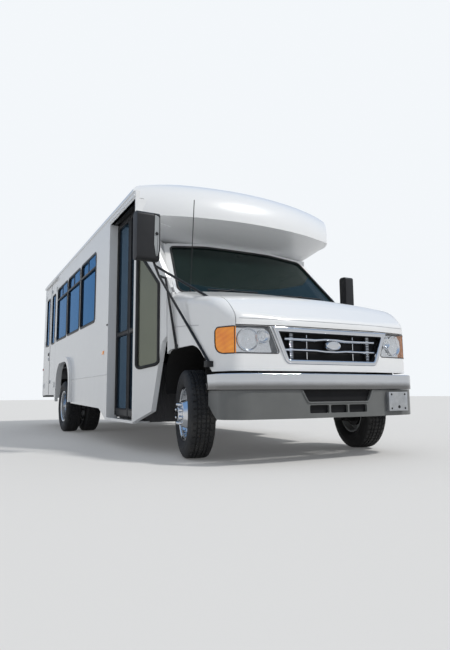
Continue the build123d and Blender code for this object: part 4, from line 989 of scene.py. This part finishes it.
def bowl_and_bulb(side, x, z, radius, y):
    """A lamp's reflector bowl, turned out a little, and the bulb in it."""
    scale = radius / BOWL_RADIUS
    bowl = spun("bowl", (side * x, y, z), (side * 0.16, -1, 0), [
        (r * scale, -depth * scale) for r, depth in (
            (90, 0), (BOWL_RADIUS, 0), (80, 6), (68, 24), (50, 38), (30, 46), (14, 48))], 48)
    bulb = spun("bulb", (side * x, y, z), (side * 0.16, -1, 0), [
        (9, -46 * scale), (9, -22 * scale), (7, -14 * scale), (0, -12 * scale)], 20)
    return [finished(bowl, reflector), finished(bulb, clear_bulb)]


def lamps_inside():
    """Reflector bowls and bulbs behind the clear lenses, and rubber round the lamps."""
    for side, word in SIDES:
        pieces = bowl_and_bulb(side, 745, 938, 84, 146) + bowl_and_bulb(side, 628, 960, 50, 120)
        back = slab("back", [(side * 846, 176, 842), (side * 846, 176, 1026),
                             (side * 600, 136, 1026), (side * 545, 136, 842)], (0, 5, 0), 14)
        pieces.append(finished(back, reflector))
        fit(joined("reflectors_" + word, pieces), "chassis", "bright")
        front = skin_of("headlamps", "corner_lamps", "grille_panel", "fenders")
        row = rounded_path([(592, 1036, 8), (860, 1036, 0), (860, 832, 0), (508, 832, 20)])
        line = laid([(side * x, 0, z) for x, z in row], (0, 1, 0), front, 14, True)
        gasket = bar("lamp_gasket_" + word, line, 3.2, closed=True)
        rim = rounded_path([(100, 1036, 0), (315, 1036, 34), (315, 832, 90), (100, 832, 0)], closed=False)
        line = laid([(side * 1300, y, z) for y, z in rim], (-side, 0, 0), front, 14)
        outer = bar("corner_gasket", [place for place in line if abs(place.x) > 852], 4.5)
        fit(joined("lamp_gaskets_" + word, [finished(gasket, black_rubber), finished(outer, black_rubber)]),
            "chassis", "trim_black")


def grille_frame():
    """The grille's rounded rim and the dark lip inside it."""
    outline = rounded_path([(-577, 1037, 0), (577, 1037, 0), (455, 753, 62), (-455, 753, 62)], 7)
    rim = slab("grille_rim", [(x, 60, z) for x, z in outline], (0, 66, 0), band=35)
    soften(rim, 9, 4, 50)
    lip = slab("grille_lip", [(-540, 84, 1004), (540, 84, 1004), (434, 84, 786), (-434, 84, 786)],
               (0, 44, 0), 24, 5, 7)
    return [finished(rim, chrome, 60), finished(lip, screen_black)]


def grille_bars():
    """Two bars that part round the oval seat, and two thin uprights."""
    nose = rounded_path([(-12, -14, 5), (-12, 14, 5), (2, 14, 4), (13, 5, 6), (13, -3, 6), (0, -14, 4)], 4)
    pieces = []
    for z, bulge in ((951, 7), (866, -7)):
        rows = [(-455, z, 0), (-150, z, 200), (-55, z + bulge, 120),
                (55, z + bulge, 120), (150, z, 200), (455, z, 0)]
        path = [(x, 100, z) for x, z in rounded_path(rows, 8, closed=False)]
        pieces.append(finished(swept("grille_bar", path, nose), chrome, 50))
    for x in (-235, 235):
        upright = rounded_box("upright", (x - 4, 104, 782), (x + 4, 118, 1010), 2.5)
        pieces.append(finished(upright, chrome))
    return pieces


def oval_seat():
    """The bare oval in the grille's middle, twice as wide as high."""
    seat_plate = spun("oval_seat", (0, 80, 908), FORWARD, [
        (37, -14), (37, 12), (36, 20), (33, 25), (30, 25), (28, 22), (14, 23), (0, 23)], 64)
    choose(seat_plate, "VERT")
    bpy.ops.transform.resize(value=(2.0, 1, 1), center_override=at(0, 80, 908))
    leave()
    return finished(seat_plate, chrome, 40)


def grille():
    """The bright grille, the dark screen behind it, and a ribbed post on each side."""
    bright = joined("grille_bright", grille_frame() + grille_bars() + [oval_seat()])
    fit(bright, "chassis", "bright", "grille")
    screen = slab("grille_screen", [(-560, 134, 1026), (560, 134, 1026), (440, 134, 764), (-440, 134, 764)],
                  (0, 6, 0), 20)
    fit(finished(screen, screen_black), "chassis", "trim_black")
    for side, word in SIDES:
        x = side * POST_X
        post = rounded_box("post", (x - 22, 96, 772), (x + 22, 136, 1018), 5)
        pieces = [finished(post, black_frame)]
        for k in range(RIB_COUNT):
            z = 790 + k * RIB_PITCH
            pieces.append(finished(rounded_box("rib", (x - 21, 90, z), (x + 9, 104, z + 6), 2), chrome))
        fit(joined("grille_post_" + word, pieces), "chassis", "bright")


def bumper():
    """The bright bumper, a full-faced bar bent round the corners, and what is under it."""
    rows = [(945, 408, 0), (945, 205, 110), (815, 90, 165), (330, 31, 900),
            (-330, 31, 900), (-815, 90, 165), (-945, 205, 110), (-945, 408, 0)]
    path = [(x, y, BUMPER_Z) for x, y in rounded_path(rows, 10, closed=False)]
    face = rounded_path([
        (-29, -61, 8), (-29, 61, 6), (8, 62, 12), (29, 38, 26), (30, -20, 30), (16, -61, 26)], 6)
    pieces = [finished(swept("bumper_bar", path, face), bumper_chrome, 50)]
    for x in (-400, 400):
        bracket = rounded_box("bracket", (x - 28, 62, 584), (x + 28, 169, 656), 4)
        pieces.append(finished(bracket, under_black))
    fit(joined("bumper_bar", pieces), "chassis", "bright", "front_bumper")
    back = slab("valance_screen", [(-372, 44, 366), (372, 44, 366), (372, 44, 553), (-372, 44, 553)],
                (0, 6, 0), 12)
    half = [(352, 20, 552), (318, 17, 488), (300, 17, 463), (280, 17, 459)]
    lip = bar("valance_lip", [(-x, y, z) for x, y, z in half] + half[::-1], 7)
    fit(joined("valance_screen", [finished(back, screen_black), finished(lip, valance_grey)]),
        "chassis", "trim_black")
    studs = []
    for x, z, radius in ((550, 400, 9), (700, 400, 9), (550, 516, 9), (700, 516, 9), (632, 412, 14)):
        stud = spun("stud", (x, 7, z), FORWARD, [
            (radius, -1), (radius, 1.5), (radius - 2, 2.5), (0, 2.5)], 24)
        studs.append(finished(stud, black_plastic))
    fit(joined("plate_studs", studs), "chassis", "trim_black")


def chin_corner():
    """Moulded webs between the cap's chin and the pillar on the entry side, and the pillar's cover."""
    web = slab("chin_corner", [(-838, 1794, 2118), (-1008, 1838, 2118), (-1075, 1727, 2170),
                               (-1075, 1600, 2222), (-1075, 1514, 2254), (-838, 1534, 2216)], (0, 8, 14))
    web.data.transform(Matrix.Translation((0, -1 / 1000, -2 / 1000)))
    fit(finished(web, gelcoat), "chassis", "moulded_white")
    points = []
    for step in range(9):
        z = 1500 + step * 71
        up = (z - SHIELD_LOW) / (SHIELD_HIGH - SHIELD_LOW)
        x = -(922 - 122 * up + 52)
        points.append((x, shield_y(x, z, PILLAR_BOW) + 14, z))
    cover = bar("pillar_cover", points, 17)
    web = slab("pillar_web", [(-838, 1650, 2036), (-905, 1560, 1925), (-1010, 1500, 1925),
                              (-1060, 1600, 2120), (-1010, 1800, 2160), (-850, 1790, 2150)], (0, 10, 6))
    fit(joined("pillar_cover", [finished(cover, white), finished(web, white)]), "chassis", "body_white")


def driver_door_trim():
    """The driver's door handle, its lock and the rubber round the pane."""
    x = 1008
    dish = slab("dish", facing_side(x + 1, 2120, 2250, 1235, 1290), (3, 0, 0), 20, band=8)
    pull = rounded_box("pull", (x + 4, 2128, 1255), (x + 22, 2242, 1278), 7)
    lock = spun("lock", (x, 2205, 1215), AXLE, [(13, -1), (13, 3), (10, 5), (4, 5), (4, 3), (0, 3)], 28)
    fit(joined("door_handle", [finished(dish, black_plastic), finished(pull, chrome), finished(lock, zinc)]),
        "driver_door", "trim_black")
    line = [(x + 1, y, z) for y, z in rounded_path([
        (1392, 1332, 30), (2238, 1322, 50), (2238, 1968, 50), (1862, 1968, 60), (1390, 1480, 40)])]
    fit(finished(bar("door_glass_gasket", line, 8, closed=True), black_rubber), "driver_door", "trim_black")


def fuel_door():
    """The fuel door on the left side, with its hinge."""
    filler = slab("fuel_door", facing_side(WALL_X + 1, 2700, 2880, 900, 1060), (4, 0, 0), 14)
    soften(filler, 1.5, 2)
    hinge = bar("hinge", [(1223, 2704, 915), (1223, 2704, 1045)], 4)
    fit(joined("fuel_door", [finished(filler, white), finished(hinge, white)]), "chassis", "body_white")


def cowl_trim():
    """The cowl's slats, and the wipers that lie on the windshield."""
    slats = []
    for k in range(5):
        y = 1050 + k * 9
        slat = rounded_box("slat", (-760, y, 1428), (760, y + 4, 1437), 1.5, 2)
        slats.append(finished(slat, black_plastic))
    fit(joined("cowl_grille", slats), "chassis", "trim_black")
    wipers = []
    for pivot in (-620, 180):
        cap = spun("cap", (pivot, 1050, 1452), (0, 0, 1), [(16, -10), (16, 6), (11, 14), (0, 15)], 28)
        reach = []
        for step in range(9):
            x = pivot + 540 * step / 8
            z = 1503 + 13 * step / 8
            reach.append((x, shield_y(x, z, SHIELD_BOW) - 13, z + 6))
        middle = reach[4]
        arm = bar("arm", [(pivot, 1050, 1462), (pivot + 60, 1054, 1474),
                          (middle[0], middle[1] - 12, middle[2] + 8)], 6.5)
        wipers += [finished(cap, black_plastic), finished(bar("blade", reach, 7), black_rubber),
                   finished(arm, black_plastic)]
    fit(joined("wiper_set", wipers), "chassis", "trim_black", "wipers")


def mirrors():
    """Both outside mirrors, the near one's silver back with its loop and knob, and the glasses."""
    refined("mirror_right", 9, 3, black_plastic, "mirror_black", "chassis", 50)
    refined("mirror_left", 9, 3, black_plastic, "mirror_black", "driver_door", 50)
    lean = 10 / 435
    shell = slab("mirror_shell", [(x, 1009 - (z - 1705) * lean, z) for x, z in (
        (-1192, 2118), (-1152, 2100), (-1150, 1800), (-1164, 1742), (-1176, 1742), (-1196, 1850))],
        (0, -3, 0), 10)
    loop = bar("mirror_loop", [(-1196, 1003, 2128), (-1146, 1003, 2112), (-1144, 1007, 1800),
                               (-1160, 1009, 1726)], 5)
    knob = spun("mirror_knob", (-1172, 1006, 1946), FORWARD, [(15, -2), (15, 8), (11, 14), (0, 15)], 28)
    fit(joined("mirror_shell", [finished(shell, silver_shell), finished(loop, black_plastic),
                                finished(knob, black_plastic)]), "chassis", "mirror_black")
    for word, body, x, y, z_low, z_high, half, slope in (
            ("right", "chassis", -1248, 1124, 1730, 2120, 92, 10 / 445),
            ("left", "driver_door", 1298, 1429, 1530, 1845, 46, 0.0)):
        face = slab("mirror_glass_" + word, [(x + across, y + 1 + (z - z_low) * slope, z) for across, z in (
            (-half, z_low), (half, z_low), (half, z_high), (-half, z_high))], (0, 3, 0), 26)
        soften(face, 1, 2)
        fit(finished(face, reflector), body, "mirror_black")


# Panels, bays and lamps

BAY_X = 500
BAY_WIDTH = 478
BAY_WALL = 4
BAY_MOUTH_X = 960
BAY_MOUTH_Z = 700
TRIM_Z = 752
GUTTER_Z = 2520
TAIL_X = 1080


def wheel_bays():
    """Black liners over the front wheels, open to the side and below."""
    for side, word in SIDES:
        x = side * BAY_X
        bay = slab("wheel_bay_" + word, [(x, 385, 540), (x, 430, 830), (x, 560, 955), (x, 1090, 955),
                                         (x, 1235, 830), (x, 1258, 520)], (side * BAY_WIDTH, 0, 0), 60, 4)
        choose(bay, "FACE", lambda place, way: (
            abs(place.x) > BAY_MOUTH_X or (way.z < -0.8 and place.z < BAY_MOUTH_Z)))
        bpy.ops.mesh.delete(type="FACE")
        leave()
        modify(bay, "SOLIDIFY", thickness=BAY_WALL / 1000, offset=0)
        fit(finished(bay, bay_black), "chassis", "trim_black")


def creases():
    """Grey lines on the front's panels: one along each fender's side, and painted shade along the hood's
    crease.
    """
    front = skin_of("fenders", "grille_panel", "hood")
    for side, word in SIDES:
        rows = [(side * 1300, 1020, 1118), (side * 1300, 700, 1094), (side * 1300, 520, 1078)]
        crease = bar("fender_crease_" + word, laid(rows, (-side, 0, 0), front, 30), 2.2)
        fit(finished(crease, crease_line_grey), "chassis", "body_white")
    # Painted shade: the grey bar stands in for the shade along the hood's ridge above the lamps.
    rows = [(x, -20, 1096) for x in (-880, 0, 880)]
    edge = bar("hood_crease_shade", laid(rows, (0, 1, 0), skin_of("hood"), 25), 2.4)
    fit(finished(edge, crease_line_grey), "hood", "body_white")


def side_trim():
    """A ridge along each side, before and behind the rear wheels, and the gutter above."""
    for side, word in SIDES:
        if side > 0:
            ridge_start, ridge_end, gutter_start = 2480, 6860, 2482
        else:
            ridge_start, ridge_end, gutter_start = 2440, 5690, 1500
        x = side * (WALL_X + 2)
        lines = (
            ("side_ridge_" + word, x, ridge_start, 4290, TRIM_Z, 6),
            ("ridge", x, 5376, ridge_end, TRIM_Z, 6),
            ("gutter", side * (WALL_X + 3), gutter_start, 6866, GUTTER_Z, 8))
        pieces = [finished(bar(name, [(place, start, z), (place, end, z)], radius), white)
                  for name, place, start, end, z, radius in lines]
        fit(joined("side_trim_" + word, pieces), "chassis", "body_white")


def tails():
    """Round tail lamps with rubber rims, side reflectors and markers, and rear marker lamps."""
    for side, word in reversed(SIDES):
        for z, glass, label in ((1000, amber, "turn"), (1140, red, "stop"), (1280, red, "tail")):
            middle = (side * TAIL_X, 7020, z)
            rim = spun("rim", middle, (0, 1, 0), [(62, 0), (62, 8), (57, 13), (51, 12), (51, 4)], 48)
            dome = spun("dome", middle, (0, 1, 0), [
                (52, 4), (51, 16), (46, 24), (34, 28), (30, 27), (16, 29), (0, 29)], 48)
            lamp = joined(label + "_lamp_" + word, [finished(dome, glass), finished(rim, black_rubber)])
            fit(lamp, "chassis", "lens_red", "tail_lamps")
        for label, y, glass, slot in (
                ("side_reflector_", 6880, red, "lens_red"), ("side_marker_", 2560, amber, "lens_amber")):
            spot = rounded_box(label + word, (side * 1218, y, 980), (side * 1226, y + 80, 1020), 3)
            fit(finished(spot, glass), "chassis", slot)
    for x in (-240, 0, 240, -930, 930):
        lamp = rounded_box("rear_marker_%d" % (x + 1000), (x - 42, 7008, 2560), (x + 42, 7038, 2584), 8)
        fit(finished(lamp, red), "chassis", "lens_red")


# Seats

SEAT_FLOOR = 831
DRIVER_FLOOR = 726


def pad(name, low, high):
    """A crowned pad between two corners."""
    piece = rounded_box(name, low, high, 26, 2)
    choose(piece, "FACE")
    bpy.ops.mesh.subdivide(number_cuts=3)
    leave()
    modify(piece, "CAST", cast_type="SPHERE", factor=0.05, use_radius_as_size=False)
    modify(piece, "SUBSURF", levels=1, render_levels=1)
    return finished(piece, cloth, 60)


def seat(name, x, y, base, width):
    """A seat: two pads with piping, on a steel leg frame."""
    left, right = x - width / 2, x + width / 2
    cushion = pad(name + "_cushion", (left, y - 245, base + 296), (right, y + 220, base + 418))
    back = pad(name + "_back", (left, y + 195, base + 410), (right, y + 285, base + 1075))
    for piece in (cushion, back):
        fit(piece, "chassis", "seat_cloth", "seats")
    pieces = []
    for leg_x in (left + 110, right - 110):
        foot = bar("leg", [(leg_x, y - 200, base + 300), (leg_x, y - 190, base + 8),
                           (leg_x, y + 190, base + 8), (leg_x, y + 200, base + 300)], 14)
        pieces.append(finished(foot, under_black))
    pan = rounded_box("pan", (left + 30, y - 215, base + 275), (right - 30, y + 215, base + 295), 4)
    piping = bar("piping", [(across, along, base + 408) for across, along in rounded_path([
        (left + 12, y - 232, 40), (right - 12, y - 232, 40), (right - 12, y + 190, 20),
        (left + 12, y + 190, 20)])], 5, closed=True)
    rail = bar("grab_rail", [(left + 60, y + 250, base + 1060), (left + 60, y + 262, base + 1110),
                             (right - 60, y + 262, base + 1110), (right - 60, y + 250, base + 1060)], 12)
    pieces += [finished(pan, under_black), finished(piping, black_rubber), finished(rail, black_plastic)]
    fit(joined(name + "_frame", pieces), "chassis", "frame_black")


def seats():
    """The driver's seat and four benches."""
    seat("driver_seat", 430, 1960, DRIVER_FLOOR, 500)
    for row, y in (("front", 2900), ("rear", 3700)):
        for word, x in (("left", 720), ("right", -720)):
            seat("bench_%s_%s" % (row, word), x, y, SEAT_FLOOR, 860)


# Stage, camera and light

SUN_WAY = (-0.50, 0.62, -0.95)
SUN_STRENGTH = 2.0
SKY_STRENGTH = 0.72
SKY_RISE = (0.02, 0.75)
HORIZON = rgb(0.92, 0.94, 0.96)
MIRRORED_ZENITH = rgb(0.30, 0.52, 0.88)
LIGHTING_ZENITH = rgb(0.74, 0.78, 0.83)
BACKDROP = rgb(0.90, 0.93, 0.96)
FLOOR_GREY = rgb(0.62, 0.62, 0.62)
FLOOR_GLOW = 0.12


def floor_material():
    """Matt grey, with a faint glow that camera, mirror and window rays see."""
    board = Board("stage_floor")
    seen = board.ray("Camera").larger(board.ray("Glossy")).larger(board.ray("Transmission"))
    board.finish(Base_Color=FLOOR_GREY, Roughness=0.9, Specular_IOR_Level=0.0)
    glow = board.add("ShaderNodeEmission", None, {"Color": FLOOR_GREY, "Strength": seen * FLOOR_GLOW})
    both = board.add("ShaderNodeAddShader", None, {0: Wire(board, board.surface.outputs[0]), 1: glow})
    board.feed(board.tree.nodes["Material Output"].inputs["Surface"], both)
    return board.material


def stage():
    """A plain floor."""
    bpy.ops.mesh.primitive_plane_add(size=120, location=(0, 0, 0))
    floor = bpy.context.object
    floor.name = "stage_floor"
    floor.data.materials.append(floor_material())


def studio_world():
    """Light from above, bluer overhead in what is mirrored; the camera sees a pale backdrop."""
    world = bpy.data.worlds.new("studio")
    bpy.context.scene.world = world
    board = Board("studio", world)
    split = board.tree.nodes.new("ShaderNodeSeparateXYZ")
    board.feed(split.inputs[0], board.add("ShaderNodeTexCoord", output="Generated"))
    rise = board.step(Wire(board, split.outputs["Z"]), *SKY_RISE)
    zenith = board.between(board.ray("Diffuse"), MIRRORED_ZENITH, LIGHTING_ZENITH)
    sky = board.between(rise, HORIZON, zenith)
    lit = board.add("ShaderNodeBackground", None, {"Color": sky, "Strength": SKY_STRENGTH})
    plain = board.add("ShaderNodeBackground", None, {"Color": BACKDROP, "Strength": 1.0})
    both = board.add("ShaderNodeMixShader", None, {0: board.ray("Camera"), 1: lit, 2: plain})
    board.feed(board.tree.nodes["World Output"].inputs["Surface"], both)


def lamps():
    """A soft sun, high over the vehicle's left front."""
    sun = bpy.data.lights.new("sun", "SUN")
    sun.energy = SUN_STRENGTH
    sun.angle = math.radians(6)
    sun.color = (1.0, 0.97, 0.92)
    linked("sun", sun).rotation_euler = Vector(SUN_WAY).to_track_quat("-Z", "Y").to_euler()


CAMERA_PLACE = (-2.718, -6.795, 0.529)
CAMERA_YAW = 27.64
CAMERA_PITCH = 7.56
CAMERA_ROLL = -0.44
CAMERA_LENS = 28.82


def camera():
    """The photograph's viewing angle."""
    data = bpy.data.cameras.new("camera")
    data.lens = CAMERA_LENS
    data.sensor_width = 36.0
    turn = Matrix.Rotation(math.radians(-CAMERA_YAW), 4, "Z")
    tilt = Matrix.Rotation(math.radians(90 + CAMERA_PITCH), 4, "X")
    roll = Matrix.Rotation(math.radians(CAMERA_ROLL), 4, "Z")
    view = linked("camera", data)
    view.matrix_world = Matrix.Translation(CAMERA_PLACE) @ turn @ tilt @ roll
    bpy.context.scene.camera = view


wheels()
body_windows()
sidelight()
escape_window()
shield_trim()
entry_trim()
lift_trim()
lamps_inside()
grille()
bumper()
refined("plate_bracket", 2, 2, zinc, "plate_blank", "chassis")
mirrors()
refined("rear_bumper", 8, 3, black_rubber, "trim_black", "chassis")
refined("dashboard", 9, 2, dash_vinyl, "dash_grey", "chassis")
chin_corner()
driver_door_trim()
fuel_door()
cowl_trim()
wheel_bays()
creases()
side_trim()
tails()
seats()
stage()
studio_world()
lamps()
camera()
bpy.context.scene.view_settings.view_transform = "Standard"
